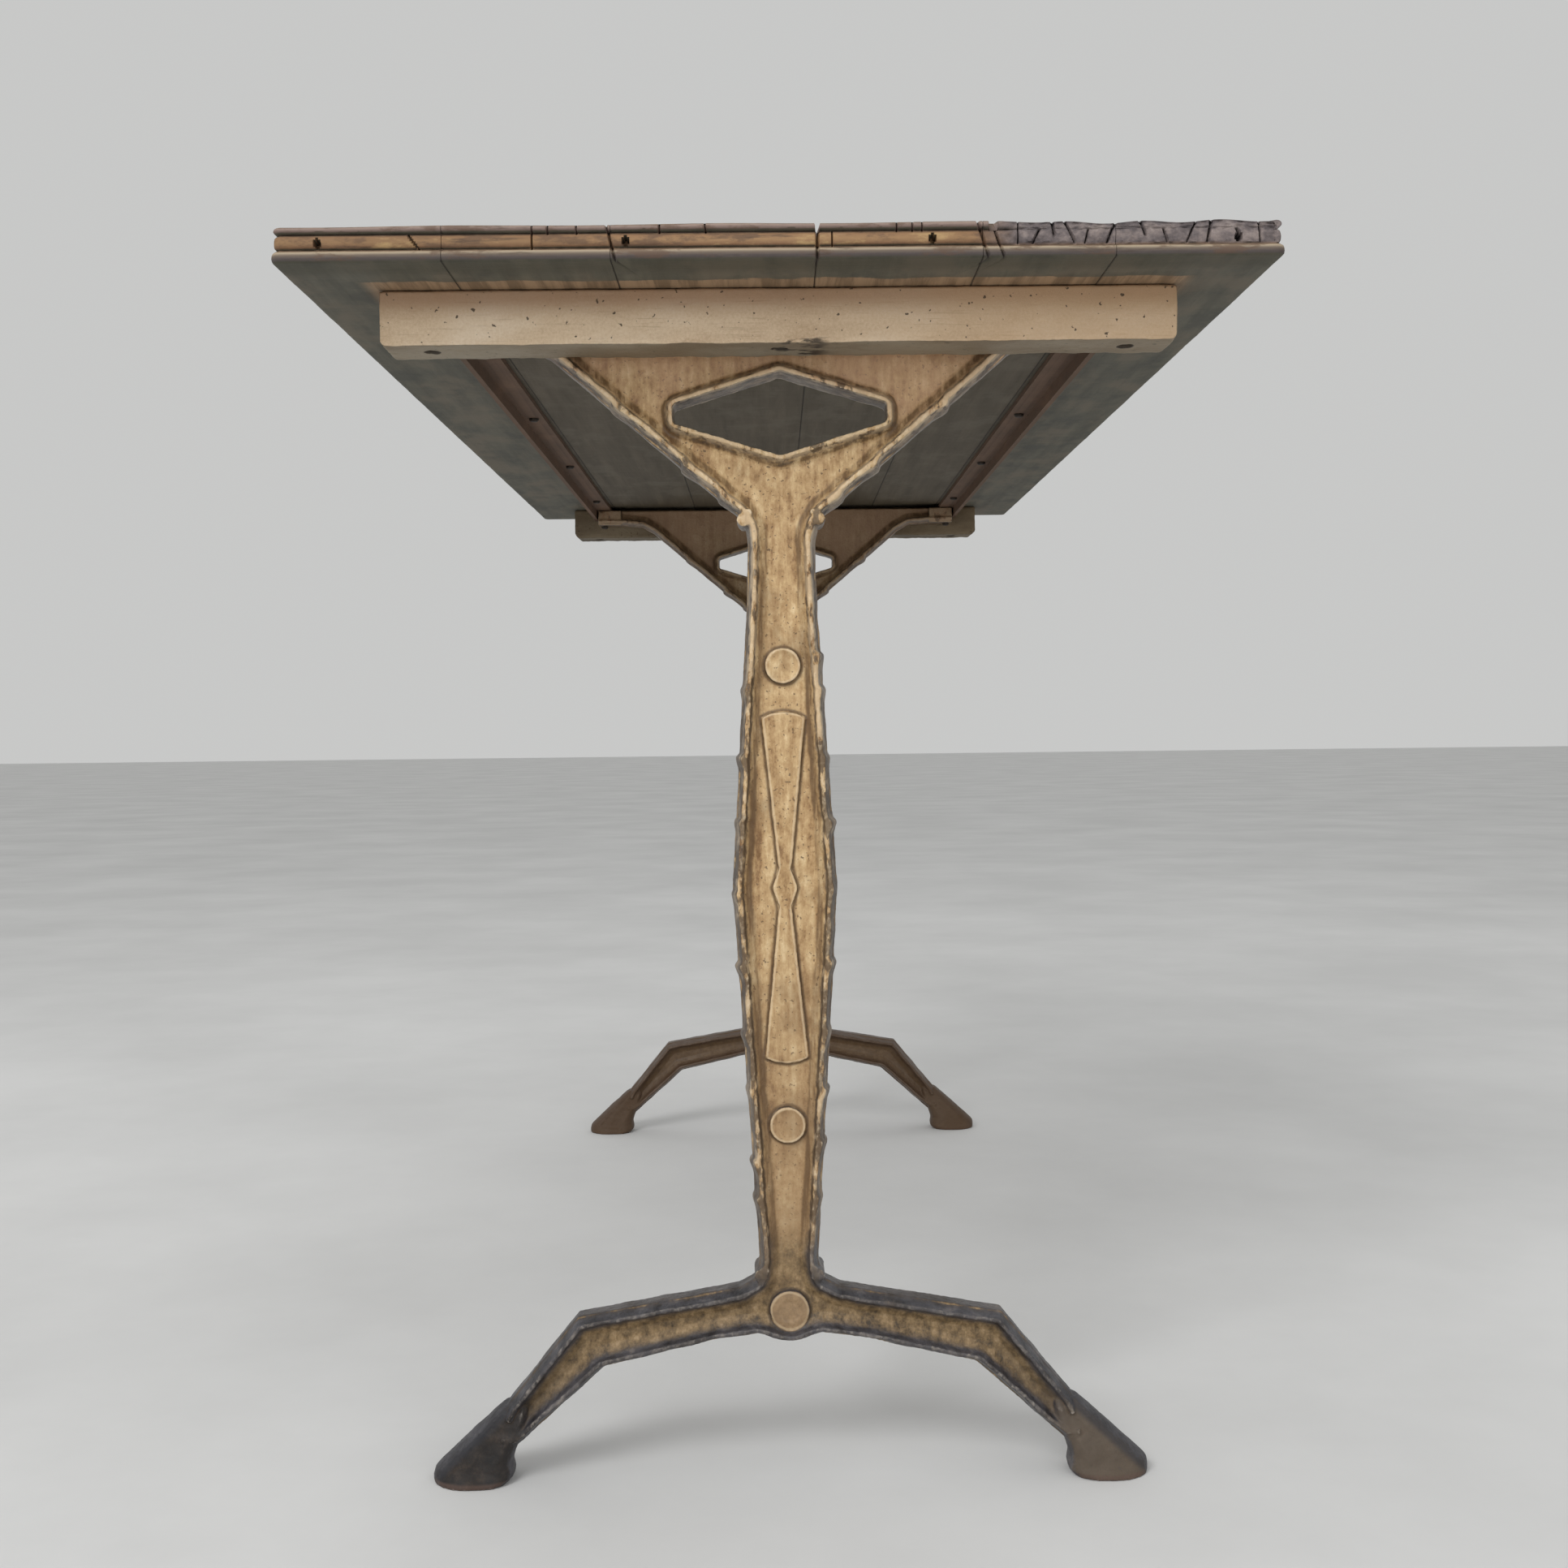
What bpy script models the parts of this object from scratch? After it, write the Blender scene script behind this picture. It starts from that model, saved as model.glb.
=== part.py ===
"""Drafting table: a fixed plank top on two cast-iron pedestal legs.

X runs across the table, Y along its length and Z up, in metres. The origin is on the
floor, under the middle of the top. The front of the table is its -Y end.
"""
import math

import bmesh
import bpy
from mathutils import Matrix, Vector

GAP = 0.0003  # clearance between pieces that touch
PAST = 0.010  # how far a cutter runs past the face it cuts

# Plank top
TOP_LENGTH = 1.100
TOP_WIDTH = 0.519
TOP_THICKNESS = 0.0188
UNDERSIDE_Z = 0.671
CORNER_RADIUS = 0.006
CORNER_STEPS = 3
BOARD_JOINTS = (-0.172, -0.086, 0.019, 0.104, 0.172)
CHARRED_BOARD = 6
TONGUE_LENGTH = 0.005
TONGUE_THICKNESS = 0.006

# Moulding layers of the top's edge: bottom and top above the underside, inset, rounding
LIP = (0.0, 0.0059, 0.0, 0.0016)
BAND = (0.0030, 0.0146, 0.0019, 0.0020)
BEAD = (0.0136, TOP_THICKNESS, 0.0011, 0.0022)

# Old fixing holes in the end edges of the top
EDGE_HOLE_RADIUS = 0.002
EDGE_HOLE_DEPTH = 0.018
EDGE_HOLE_Z = UNDERSIDE_Z + 0.0098
EDGE_HOLE_SPACING = 0.1567

# Wooden battens across the underside
BATTEN_LENGTH = 0.432
BATTEN_DEPTH = 0.035
BATTEN_HEIGHT = 0.030
BATTEN_CLIP = {"front": 0.0015, "rear": 0.004}
FRONT_OVERHANG = 0.058
REAR_OVERHANG = 0.050
BATTEN_Y = {
    "front": FRONT_OVERHANG + BATTEN_DEPTH / 2 - TOP_LENGTH / 2,
    "rear": TOP_LENGTH / 2 - REAR_OVERHANG - BATTEN_DEPTH / 2,
}
BATTEN_SCREW_X = 0.191
COUNTERBORE_RADIUS = 0.004
COUNTERBORE_DEPTH = 0.012

# Angle-iron rails along the underside
RAIL_INNER_X = 0.175
RAIL_OUTER_X = 0.1935
RAIL_HEIGHT = 0.012
RAIL_THICKNESS = 0.0035
RAIL_LENGTH = BATTEN_Y["rear"] - BATTEN_Y["front"] - BATTEN_DEPTH - 2 * GAP
RAIL_Y = (BATTEN_Y["front"] + BATTEN_Y["rear"]) / 2
RAIL_SCREW_X = 0.1825
RAIL_SCREW_SPACING = 0.240
RAIL_SCREW_Y = [RAIL_Y + step * RAIL_SCREW_SPACING for step in (-1.5, -0.5, 0.5, 1.5)]

# Cast legs: crossbar, two arms, column and arched foot (x, z points)
LEG_DEPTH = 0.027
LEG_WEB = 0.011
LEG_RIM = 0.006
LEG_SETBACK = BATTEN_DEPTH / 2 + GAP + LEG_DEPTH / 2
LEG_Y = {"front": BATTEN_Y["front"] + LEG_SETBACK, "rear": BATTEN_Y["rear"] - LEG_SETBACK}
BAR_HALF = 0.1885
BAR_LUG = 0.030
BAR_TOP_Z = UNDERSIDE_Z - RAIL_THICKNESS - 2 * GAP
BAR_BOTTOM_Z = 0.6515
ARM_TOP = (0.138, 0.650)
ARM_FOOT = (0.0245, 0.553)
NECK = (0.0182, 0.545)
UPPER_COLUMN = (0.023, 0.455)
COLUMN_BELLY = (0.0298, 0.343)
COLUMN_BASE = (0.0168, 0.128)
FOOT_ROOT = (0.022, 0.1125)
KNEE = (0.122, 0.0955)
FETLOCK = (0.1625, 0.0460)
SHANK_FRONT = (0.172, 0.030)
SHANK_BACK = (0.159, 0.020)
UNDER_KNEE = (0.107, 0.0665)
ARCH_MIDDLE = (0.0435, 0.0808)
HUB_Z = 0.098
HUB_BULGE_RADIUS = 0.0188
HUB_BULGE_HALF_ANGLE = math.radians(40)
HUB_BULGE_STEPS = 4

# Diamond opening in the head of the leg
DIAMOND_Z = 0.6096
DIAMOND_HALF_WIDTH = 0.060
DIAMOND_HALF_HEIGHT = 0.0234
DIAMOND_BLUNT = 0.005
DIAMOND_RIM = 0.0045

# Raised ornament on both faces of the web
RELIEF = 0.0025
DISCS = ((0.4675, 0.0103), (0.205, 0.0105), (HUB_Z, 0.0115))
DISC_STEPS = 20
PADDLE_MIDDLE_Z = 0.341
PADDLE_SHOULDER = 0.096
PADDLE_ARCH = 0.0045
PADDLE_CROWN = (0.0073, 0.0036)  # where the arch turns: across, above the shoulder
PADDLE_WIDE = 0.0122
PADDLE_NARROW = 0.004
LENS_HALF_WIDTH = 0.0075
LENS_HALF_LENGTH = 0.0135
KNOBS = ((0.0210, 0.550), (0.0162, 0.1195))
KNOB_RADIUS = 0.0039
KNOB_STEPS = 12

# Hooves: broader than the shank above them
HOOF_DEPTH = 0.035
HOOF_STEP = (0.1660, 0.0447)
HOOF_NECK = (0.1505, 0.0305)
TOE_TOP = (0.2027, 0.0125)
TOE_FRONT = (0.206, 0.0072)
HEEL_X = 0.163
HEEL_BULB = ((0.1600, 0.003), (0.1595, 0.0065), (0.1610, 0.0115))
ANKLE = (0.1565, 0.0240)
# The hoof seen from above: x, half its depth there
HOOF_PLAN = (
    (0.1400, 0.0140),
    (0.1600, 0.0150),
    (0.1700, 0.0170),
    (0.1840, 0.0175),
    (0.1950, 0.0150),
    (0.2025, 0.0100),
    (0.2070, 0.0040),
)

# Screws
SHANK_RADIUS = 0.0023
HEAD_RADIUS = 0.0037
HEAD_HEIGHT = 0.0024
HEAD_CURVE = ((0.0035, 0.0011), (0.0026, 0.0020))  # radius, drop below the seat
SHANK_TIP_RADIUS = 0.0009
SCREW_BITE = 0.012  # depth of thread in the top
SCREW_STEPS = 10
LEG_SCREW_X = 0.1825

# Finishes: base colour, roughness, metallic
WOOD_TOP = ((0.23, 0.18, 0.13, 1.0), 0.75, 0.0)
WOOD_CHARRED = ((0.09, 0.075, 0.075, 1.0), 0.85, 0.0)
WOOD_PAINTED = ((0.55, 0.41, 0.28, 1.0), 0.6, 0.0)
IRON_PAINTED = ((0.42, 0.30, 0.16, 1.0), 0.55, 0.2)
IRON_RUSTY = ((0.09, 0.05, 0.04, 1.0), 0.75, 0.4)
STEEL_DARK = ((0.12, 0.10, 0.09, 1.0), 0.5, 0.9)


def clear_scene():
    for item in list(bpy.data.objects):
        bpy.data.objects.remove(item, do_unlink=True)


def new_collection(name):
    collection = bpy.data.collections.new(name)
    bpy.context.scene.collection.children.link(collection)
    return collection


def finish_material(name, finish):
    colour, roughness, metallic = finish
    material = bpy.data.materials.new(name)
    material.use_nodes = True
    shader = material.node_tree.nodes["Principled BSDF"]
    shader.inputs["Base Color"].default_value = colour
    shader.inputs["Roughness"].default_value = roughness
    shader.inputs["Metallic"].default_value = metallic
    return material


def add_part(name, mesh, location, finish):
    """Makes a finished mesh one named piece of the table, with a finish of its own."""
    if not mesh.materials:
        mesh.materials.append(None)
    part = bpy.data.objects.new(name, mesh)
    part.location = location
    part.parent = table
    parts.objects.link(part)
    # The slot belongs to the object, because some pieces share their mesh.
    part.material_slots[0].link = "OBJECT"
    part.material_slots[0].material = finish_material(name + "_finish", finish)
    return part


def add_guide(name, mesh, location=(0.0, 0.0, 0.0)):
    """A helper solid, which only cuts or joins other solids."""
    guide = bpy.data.objects.new(name, mesh)
    guide.location = location
    guide.hide_render = True
    guide.display_type = "WIRE"
    guides.objects.link(guide)
    return guide


def combine(target, operation, tool):
    modifier = target.modifiers.new(tool.name, "BOOLEAN")
    modifier.operation = operation
    modifier.object = tool


def evaluated_mesh(item):
    """The item's mesh with its modifiers, in world space, its seams closed."""
    bpy.context.view_layer.update()
    depsgraph = bpy.context.evaluated_depsgraph_get()
    mesh = bpy.data.meshes.new_from_object(item.evaluated_get(depsgraph))
    mesh.transform(item.matrix_world)
    solid = bmesh.new()
    solid.from_mesh(mesh)
    bmesh.ops.remove_doubles(solid, verts=solid.verts, dist=0.00001)
    bmesh.ops.recalc_face_normals(solid, faces=solid.faces)
    solid.to_mesh(mesh)
    solid.free()
    return mesh


def outline_mesh(loops, thickness, upright=True, rounding=0.0):
    """Flat solid from closed outlines, the second and later ones being holes.

    An upright outline is drawn in X and Z and its thickness runs along Y. The others are
    drawn in X and Y and their thickness runs along Z. Both are centred on the origin.
    """
    curve = bpy.data.curves.new("outline", "CURVE")
    curve.dimensions = "2D"
    curve.fill_mode = "BOTH"
    curve.extrude = thickness / 2 - rounding
    curve.bevel_depth = rounding
    curve.bevel_resolution = 1
    curve.offset = -rounding
    for points in loops:
        spline = curve.splines.new("POLY")
        spline.points.add(len(points) - 1)
        for point, (across, along) in zip(spline.points, points):
            point.co = (across, along, 0.0, 1.0)
        spline.use_cyclic_u = True
    holder = bpy.data.objects.new("outline", curve)
    if upright:
        holder.rotation_euler = (math.pi / 2, 0.0, 0.0)
    bpy.context.scene.collection.objects.link(holder)
    mesh = evaluated_mesh(holder)
    bpy.data.objects.remove(holder)
    return mesh


def cylinder_mesh(places, radius, length, axis="Z", steps=16):
    """Separate cylinders of one size, centred on the given places."""
    turn = Matrix.Rotation(math.pi / 2, 4, "X") if axis == "Y" else Matrix.Identity(4)
    solid = bmesh.new()
    for place in places:
        bmesh.ops.create_cone(
            solid,
            cap_ends=True,
            segments=steps,
            radius1=radius,
            radius2=radius,
            depth=length,
            matrix=Matrix.Translation(place) @ turn,
        )
    mesh = bpy.data.meshes.new("cylinders")
    solid.to_mesh(mesh)
    solid.free()
    return mesh


def inset(points, distance):
    """Moves every edge of a closed outline inwards, or outwards if distance < 0."""
    corners = [Vector(point) for point in points]
    count = len(corners)
    area = sum(corners[i - 1].cross(corners[i]) for i in range(count))
    inward = math.copysign(1.0, area)
    moved = []
    for i in range(count):
        before = (corners[i] - corners[i - 1]).normalized()
        after = (corners[(i + 1) % count] - corners[i]).normalized()
        normals = [inward * Vector((-edge.y, edge.x)) for edge in (before, after)]
        mitre = (normals[0] + normals[1]) / (1.0 + normals[0].dot(normals[1]))
        moved.append(tuple(corners[i] + distance * mitre))
    return moved


def both_sides(right):
    """Closes a right-hand outline with its mirror image on the left."""
    return right + [(-x, z) for x, z in reversed(right) if x > 0.0]


# ---- The plank top -------------------------------------------------------------------


def rounded_rectangle(half_width, half_length, radius):
    points = []
    corners = ((1, 1), (-1, 1), (-1, -1), (1, -1))
    for quarter, (side_x, side_y) in enumerate(corners):
        for step in range(CORNER_STEPS + 1):
            angle = math.pi / 2 * (quarter + step / CORNER_STEPS)
            x = side_x * (half_width - radius) + radius * math.cos(angle)
            y = side_y * (half_length - radius) + radius * math.sin(angle)
            points.append((x, y))
    return points


def moulding_layer(name, layer):
    bottom, top, setback, rounding = layer
    outline = rounded_rectangle(
        TOP_WIDTH / 2 - setback, TOP_LENGTH / 2 - setback, CORNER_RADIUS
    )
    mesh = outline_mesh([outline], top - bottom, upright=False, rounding=rounding)
    return add_guide(name, mesh, (0.0, 0.0, UNDERSIDE_Z + (bottom + top) / 2))


def moulded_slab():
    """The whole top with its moulded edge, before it is divided into boards."""
    slab = moulding_layer("slab_lip", LIP)
    combine(slab, "UNION", moulding_layer("slab_band", BAND))
    combine(slab, "UNION", moulding_layer("slab_bead", BEAD))
    return slab


def board_strip(left, right, has_groove, has_tongue):
    """Board section with its groove on the left and its tongue on the right."""
    low = -TOP_THICKNESS / 2 - PAST
    high = TOP_THICKNESS / 2 + PAST
    tongue = TONGUE_THICKNESS / 2
    points = [(left, low), (right, low)]
    if has_tongue:
        tip = right + TONGUE_LENGTH
        points += [(right, -tongue), (tip, -tongue), (tip, tongue), (right, tongue)]
    points += [(right, high), (left, high)]
    if has_groove:
        groove = tongue + GAP
        bottom = left + TONGUE_LENGTH
        points += [(left, groove), (bottom, groove), (bottom, -groove), (left, -groove)]
    return outline_mesh([points], TOP_LENGTH + 2 * PAST)


def top_holes():
    """Pilot holes of every screw in the underside, and the old holes in the ends."""
    screws = [(side * RAIL_SCREW_X, y) for y in RAIL_SCREW_Y for side in (-1, 1)]
    for end in ("front", "rear"):
        screws += [(x, BATTEN_Y[end]) for x in batten_screw_x()]
        screws += [(x, LEG_Y[end]) for x in leg_screw_x()]
    pilot_length = 2 * (SCREW_BITE + 2 * GAP)
    pilots = [(x, y, UNDERSIDE_Z) for x, y in screws]
    pilot_mesh = cylinder_mesh(pilots, SHANK_RADIUS + GAP, pilot_length)
    edge_places = []
    for number in (-1.5, -0.5, 0.5, 1.5):
        for side in (-1, 1):
            edge_places.append(
                (number * EDGE_HOLE_SPACING, side * TOP_LENGTH / 2, EDGE_HOLE_Z)
            )
    edge_mesh = cylinder_mesh(edge_places, EDGE_HOLE_RADIUS, 2 * EDGE_HOLE_DEPTH, "Y")
    return [add_guide("pilot_holes", pilot_mesh), add_guide("edge_holes", edge_mesh)]


def make_top():
    slab = moulded_slab()
    holes = top_holes()
    edges = (-TOP_WIDTH / 2 - PAST,) + BOARD_JOINTS + (TOP_WIDTH / 2 + PAST,)
    count = len(edges) - 1
    for number in range(1, count + 1):
        has_groove = number > 1
        has_tongue = number < count
        left = edges[number - 1] + GAP / 2
        right = edges[number] - GAP / 2
        middle = (left + right) / 2
        strip = board_strip(left - middle, right - middle, has_groove, has_tongue)
        finish = WOOD_CHARRED if number == CHARRED_BOARD else WOOD_TOP
        place = (middle, 0.0, UNDERSIDE_Z + TOP_THICKNESS / 2)
        board = add_part(f"top_board_{number}", strip, place, finish)
        combine(board, "INTERSECT", slab)
        for hole in holes:
            combine(board, "DIFFERENCE", hole)


# ---- Battens and rails ---------------------------------------------------------------


def batten_screw_x():
    return (-BATTEN_SCREW_X, 0.0, BATTEN_SCREW_X)


def batten_mesh(clip):
    half = BATTEN_LENGTH / 2
    top = BATTEN_HEIGHT / 2
    right = [
        (half, top),
        (half, clip - top),
        (half - clip, -top),
    ]
    outline = both_sides(right)
    blank = add_guide("batten_blank", outline_mesh([outline], BATTEN_DEPTH))
    bores = [(x, 0.0, -top) for x in batten_screw_x()]
    bore_mesh = cylinder_mesh(bores, COUNTERBORE_RADIUS, 2 * COUNTERBORE_DEPTH)
    shafts = [(x, 0.0, 0.0) for x in batten_screw_x()]
    shaft_mesh = cylinder_mesh(shafts, SHANK_RADIUS + GAP, BATTEN_HEIGHT + PAST)
    combine(blank, "DIFFERENCE", add_guide("batten_counterbores", bore_mesh))
    combine(blank, "DIFFERENCE", add_guide("batten_shafts", shaft_mesh))
    return evaluated_mesh(blank)


def make_battens():
    z = UNDERSIDE_Z - GAP - BATTEN_HEIGHT / 2
    for end, y in BATTEN_Y.items():
        add_part(f"batten_{end}", batten_mesh(BATTEN_CLIP[end]), (0.0, y, z), WOOD_PAINTED)


def make_rail(name, side):
    """Angle iron: one leg flat under the top, the other hanging at its outer edge."""
    inner = RAIL_INNER_X * side
    outer = RAIL_OUTER_X * side
    root = outer - RAIL_THICKNESS * side
    outline = [
        (inner, 0.0),
        (outer, 0.0),
        (outer, -RAIL_HEIGHT),
        (root, -RAIL_HEIGHT),
        (root, -RAIL_THICKNESS),
        (inner, -RAIL_THICKNESS),
    ]
    mesh = outline_mesh([outline], RAIL_LENGTH)
    rail = add_part(name, mesh, (0.0, RAIL_Y, UNDERSIDE_Z - GAP), IRON_RUSTY)
    places = [(side * RAIL_SCREW_X, y, UNDERSIDE_Z) for y in RAIL_SCREW_Y]
    places += [(side * LEG_SCREW_X, y, UNDERSIDE_Z) for y in LEG_Y.values()]
    holes = cylinder_mesh(places, SHANK_RADIUS + GAP, 2 * PAST)
    combine(rail, "DIFFERENCE", add_guide(name + "_holes", holes))


# ---- Cast legs -----------------------------------------------------------------------


def leg_screw_x():
    return (-LEG_SCREW_X, LEG_SCREW_X)


def leg_outline(bar_half, bar_top_z):
    right = [
        (bar_half, bar_top_z),
        (bar_half, BAR_BOTTOM_Z),
        ARM_TOP,
        ARM_FOOT,
        NECK,
        UPPER_COLUMN,
        COLUMN_BELLY,
        COLUMN_BASE,
        FOOT_ROOT,
        KNEE,
        FETLOCK,
        SHANK_FRONT,
        SHANK_BACK,
        UNDER_KNEE,
        ARCH_MIDDLE,
    ]
    for step in range(HUB_BULGE_STEPS):
        angle = HUB_BULGE_HALF_ANGLE * (1.0 - step / HUB_BULGE_STEPS)
        x = HUB_BULGE_RADIUS * math.sin(angle)
        z = HUB_Z - HUB_BULGE_RADIUS * math.cos(angle)
        right.append((x, z))
    return both_sides(right)


def diamond_outline():
    right = [
        (0.0, DIAMOND_Z + DIAMOND_HALF_HEIGHT),
        (DIAMOND_HALF_WIDTH, DIAMOND_Z + DIAMOND_BLUNT),
        (DIAMOND_HALF_WIDTH, DIAMOND_Z - DIAMOND_BLUNT),
        (0.0, DIAMOND_Z - DIAMOND_HALF_HEIGHT),
    ]
    return both_sides(right)


def paddle_outline():
    """Two paddles end to end, with a small lens between them."""
    upper = [
        (0.0, PADDLE_SHOULDER + PADDLE_ARCH),
        (PADDLE_CROWN[0], PADDLE_SHOULDER + PADDLE_CROWN[1]),
        (PADDLE_WIDE, PADDLE_SHOULDER),
        (PADDLE_NARROW, LENS_HALF_LENGTH),
    ]
    lower = [(x, -z) for x, z in reversed(upper)]
    right = upper + [(LENS_HALF_WIDTH, 0.0)] + lower
    return both_sides([(x, PADDLE_MIDDLE_Z + z) for x, z in right])


def web_pocket():
    """The hollow of one face: inside the rim, around the diamond, open at the top."""
    outline = leg_outline(BAR_HALF - BAR_LUG + LEG_RIM, BAR_TOP_Z + PAST + LEG_RIM)
    loops = [inset(outline, LEG_RIM), inset(diamond_outline(), -DIAMOND_RIM)]
    return outline_mesh(loops, LEG_DEPTH)


def hoof_mesh(side):
    """Hoof outline in front view, flared towards its sole."""
    outline = [HOOF_NECK, HOOF_STEP, TOE_TOP, TOE_FRONT, (TOE_FRONT[0], 0.0)]
    outline += [(HEEL_X, 0.0), *HEEL_BULB, ANKLE]
    mesh = outline_mesh([[(side * x, z) for x, z in outline]], HOOF_DEPTH)
    for vertex in mesh.vertices:
        height = vertex.co.z / HOOF_STEP[1]
        vertex.co.y *= 1.0 - height * (1.0 - (LEG_DEPTH + 2 * GAP) / HOOF_DEPTH)
    hoof = add_guide(f"hoof_blank_{side}", mesh)
    front = [(side * x, y) for x, y in HOOF_PLAN]
    plan = front + [(x, -y) for x, y in reversed(front)]
    prism = outline_mesh([plan], 2 * (HOOF_STEP[1] + PAST), upright=False)
    combine(hoof, "INTERSECT", add_guide(f"hoof_plan_{side}", prism))
    return evaluated_mesh(hoof)


def leg_mesh():
    outline = leg_outline(BAR_HALF, BAR_TOP_Z)
    casting = outline_mesh([outline, diamond_outline()], LEG_DEPTH)
    leg = add_guide("leg_pattern", casting)
    pocket_y = (LEG_WEB + LEG_DEPTH) / 2
    pocket = web_pocket()
    combine(leg, "DIFFERENCE", add_guide("front_pocket", pocket, (0.0, -pocket_y, 0.0)))
    combine(leg, "DIFFERENCE", add_guide("rear_pocket", pocket, (0.0, pocket_y, 0.0)))

    relief_depth = LEG_WEB + 2 * RELIEF
    paddle = outline_mesh([paddle_outline()], relief_depth)
    combine(leg, "UNION", add_guide("paddle", paddle))
    for number, (z, radius) in enumerate(DISCS):
        disc = cylinder_mesh([(0.0, 0.0, z)], radius, relief_depth, "Y", DISC_STEPS)
        combine(leg, "UNION", add_guide(f"disc_{number}", disc))
    for side in (-1, 1):
        for number, (x, z) in enumerate(KNOBS):
            place = (side * x, 0.0, z)
            knob = cylinder_mesh([place], KNOB_RADIUS, LEG_DEPTH - GAP, "Y", KNOB_STEPS)
            combine(leg, "UNION", add_guide(f"knob_{number}_{side}", knob))
        combine(leg, "UNION", add_guide(f"hoof_{side}", hoof_mesh(side)))

    places = [(x, 0.0, BAR_TOP_Z) for x in leg_screw_x()]
    hole_length = 2 * (BAR_TOP_Z - BAR_BOTTOM_Z + PAST)
    screw_holes = cylinder_mesh(places, SHANK_RADIUS + GAP, hole_length)
    combine(leg, "DIFFERENCE", add_guide("leg_screw_holes", screw_holes))
    return evaluated_mesh(leg)


def make_legs():
    mesh = leg_mesh()
    for end, y in LEG_Y.items():
        add_part(f"leg_{end}", mesh, (0.0, y, 0.0), IRON_PAINTED)


# ---- Screws --------------------------------------------------------------------------


def screw_mesh(shank_length):
    """Round-headed screw, its head hanging below z = 0 and its shank above."""
    outline = [
        (0.0, shank_length),
        (SHANK_TIP_RADIUS, shank_length),
        (SHANK_RADIUS, shank_length - 2 * SHANK_RADIUS),
        (SHANK_RADIUS, 0.0),
        (HEAD_RADIUS, 0.0),
    ]
    outline += [(radius, -drop) for radius, drop in HEAD_CURVE]
    outline.append((0.0, -HEAD_HEIGHT))
    profile = bpy.data.meshes.new("screw_profile")
    edges = [(i, i + 1) for i in range(len(outline) - 1)]
    profile.from_pydata([(x, 0.0, z) for x, z in outline], edges, [])
    holder = bpy.data.objects.new("screw_profile", profile)
    bpy.context.scene.collection.objects.link(holder)
    turning = holder.modifiers.new("turning", "SCREW")
    turning.steps = SCREW_STEPS
    turning.render_steps = SCREW_STEPS
    turning.use_merge_vertices = True
    turning.merge_threshold = 0.00001
    mesh = evaluated_mesh(holder)
    bpy.data.objects.remove(holder)
    return mesh


def make_screws(name, places, seat_z):
    """A row of equal screws, with their heads at seat_z and their tips in the boards."""
    mesh = screw_mesh(UNDERSIDE_Z + SCREW_BITE - seat_z)
    mesh.shade_smooth()
    mesh.set_sharp_from_angle(angle=math.radians(40))
    for number, (x, y) in enumerate(places, start=1):
        add_part(f"{name}_{number}", mesh, (x, y, seat_z), STEEL_DARK)


def make_all_screws():
    batten_seat = UNDERSIDE_Z - GAP - BATTEN_HEIGHT + COUNTERBORE_DEPTH - GAP
    rail_seat = UNDERSIDE_Z - GAP - RAIL_THICKNESS - GAP
    bar_seat = BAR_BOTTOM_Z - 2 * GAP  # the bar's underside slopes a little
    for end in ("front", "rear"):
        batten_places = [(x, BATTEN_Y[end]) for x in batten_screw_x()]
        make_screws(f"batten_screw_{end}", batten_places, batten_seat)
        leg_places = [(x, LEG_Y[end]) for x in leg_screw_x()]
        make_screws(f"leg_screw_{end}", leg_places, bar_seat)
    for hand, side in (("left", -1), ("right", 1)):
        rail_places = [(side * RAIL_SCREW_X, y) for y in RAIL_SCREW_Y]
        make_screws(f"rail_screw_{hand}", rail_places, rail_seat)


clear_scene()
parts = new_collection("drafting_table")
guides = new_collection("guides")
table = bpy.data.objects.new("table_frame", None)
parts.objects.link(table)

make_top()
make_battens()
make_rail("rail_left", -1)
make_rail("rail_right", 1)
make_legs()
make_all_screws()
bpy.context.view_layer.update()
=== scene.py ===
"""Looks of the drafting table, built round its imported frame. Metres, Z up."""

import math

import bmesh
import bpy
import numpy as np
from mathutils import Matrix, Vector, noise


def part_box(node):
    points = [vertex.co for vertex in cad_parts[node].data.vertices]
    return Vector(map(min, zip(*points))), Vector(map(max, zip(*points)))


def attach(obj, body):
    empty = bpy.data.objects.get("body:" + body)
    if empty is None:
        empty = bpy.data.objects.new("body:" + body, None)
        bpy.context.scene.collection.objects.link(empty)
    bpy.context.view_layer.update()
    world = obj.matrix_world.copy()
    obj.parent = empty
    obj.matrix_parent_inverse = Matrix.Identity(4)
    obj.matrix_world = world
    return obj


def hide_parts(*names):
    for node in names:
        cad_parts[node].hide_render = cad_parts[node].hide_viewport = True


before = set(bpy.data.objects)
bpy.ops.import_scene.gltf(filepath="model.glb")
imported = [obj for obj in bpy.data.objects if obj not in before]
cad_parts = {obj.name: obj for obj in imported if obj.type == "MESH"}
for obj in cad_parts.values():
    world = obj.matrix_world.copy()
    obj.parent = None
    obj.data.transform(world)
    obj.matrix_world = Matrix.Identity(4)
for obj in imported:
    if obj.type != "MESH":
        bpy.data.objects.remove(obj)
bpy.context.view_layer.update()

BOARDS = [f"top_board_{number}" for number in range(1, 7)]
BOARD_BOXES = [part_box(name) for name in BOARDS]
TOP_LOW = Vector([min(low[i] for low, high in BOARD_BOXES) for i in range(3)])
TOP_HIGH = Vector([max(high[i] for low, high in BOARD_BOXES) for i in range(3)])
THICKNESS = TOP_HIGH.z - TOP_LOW.z
LEG_LOW, LEG_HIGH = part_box("leg_front")
LEG_FRONT_Y = (LEG_LOW[1] + LEG_HIGH[1]) / 2
LEG_REAR_Y = (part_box("leg_rear")[0][1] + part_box("leg_rear")[1][1]) / 2

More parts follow.
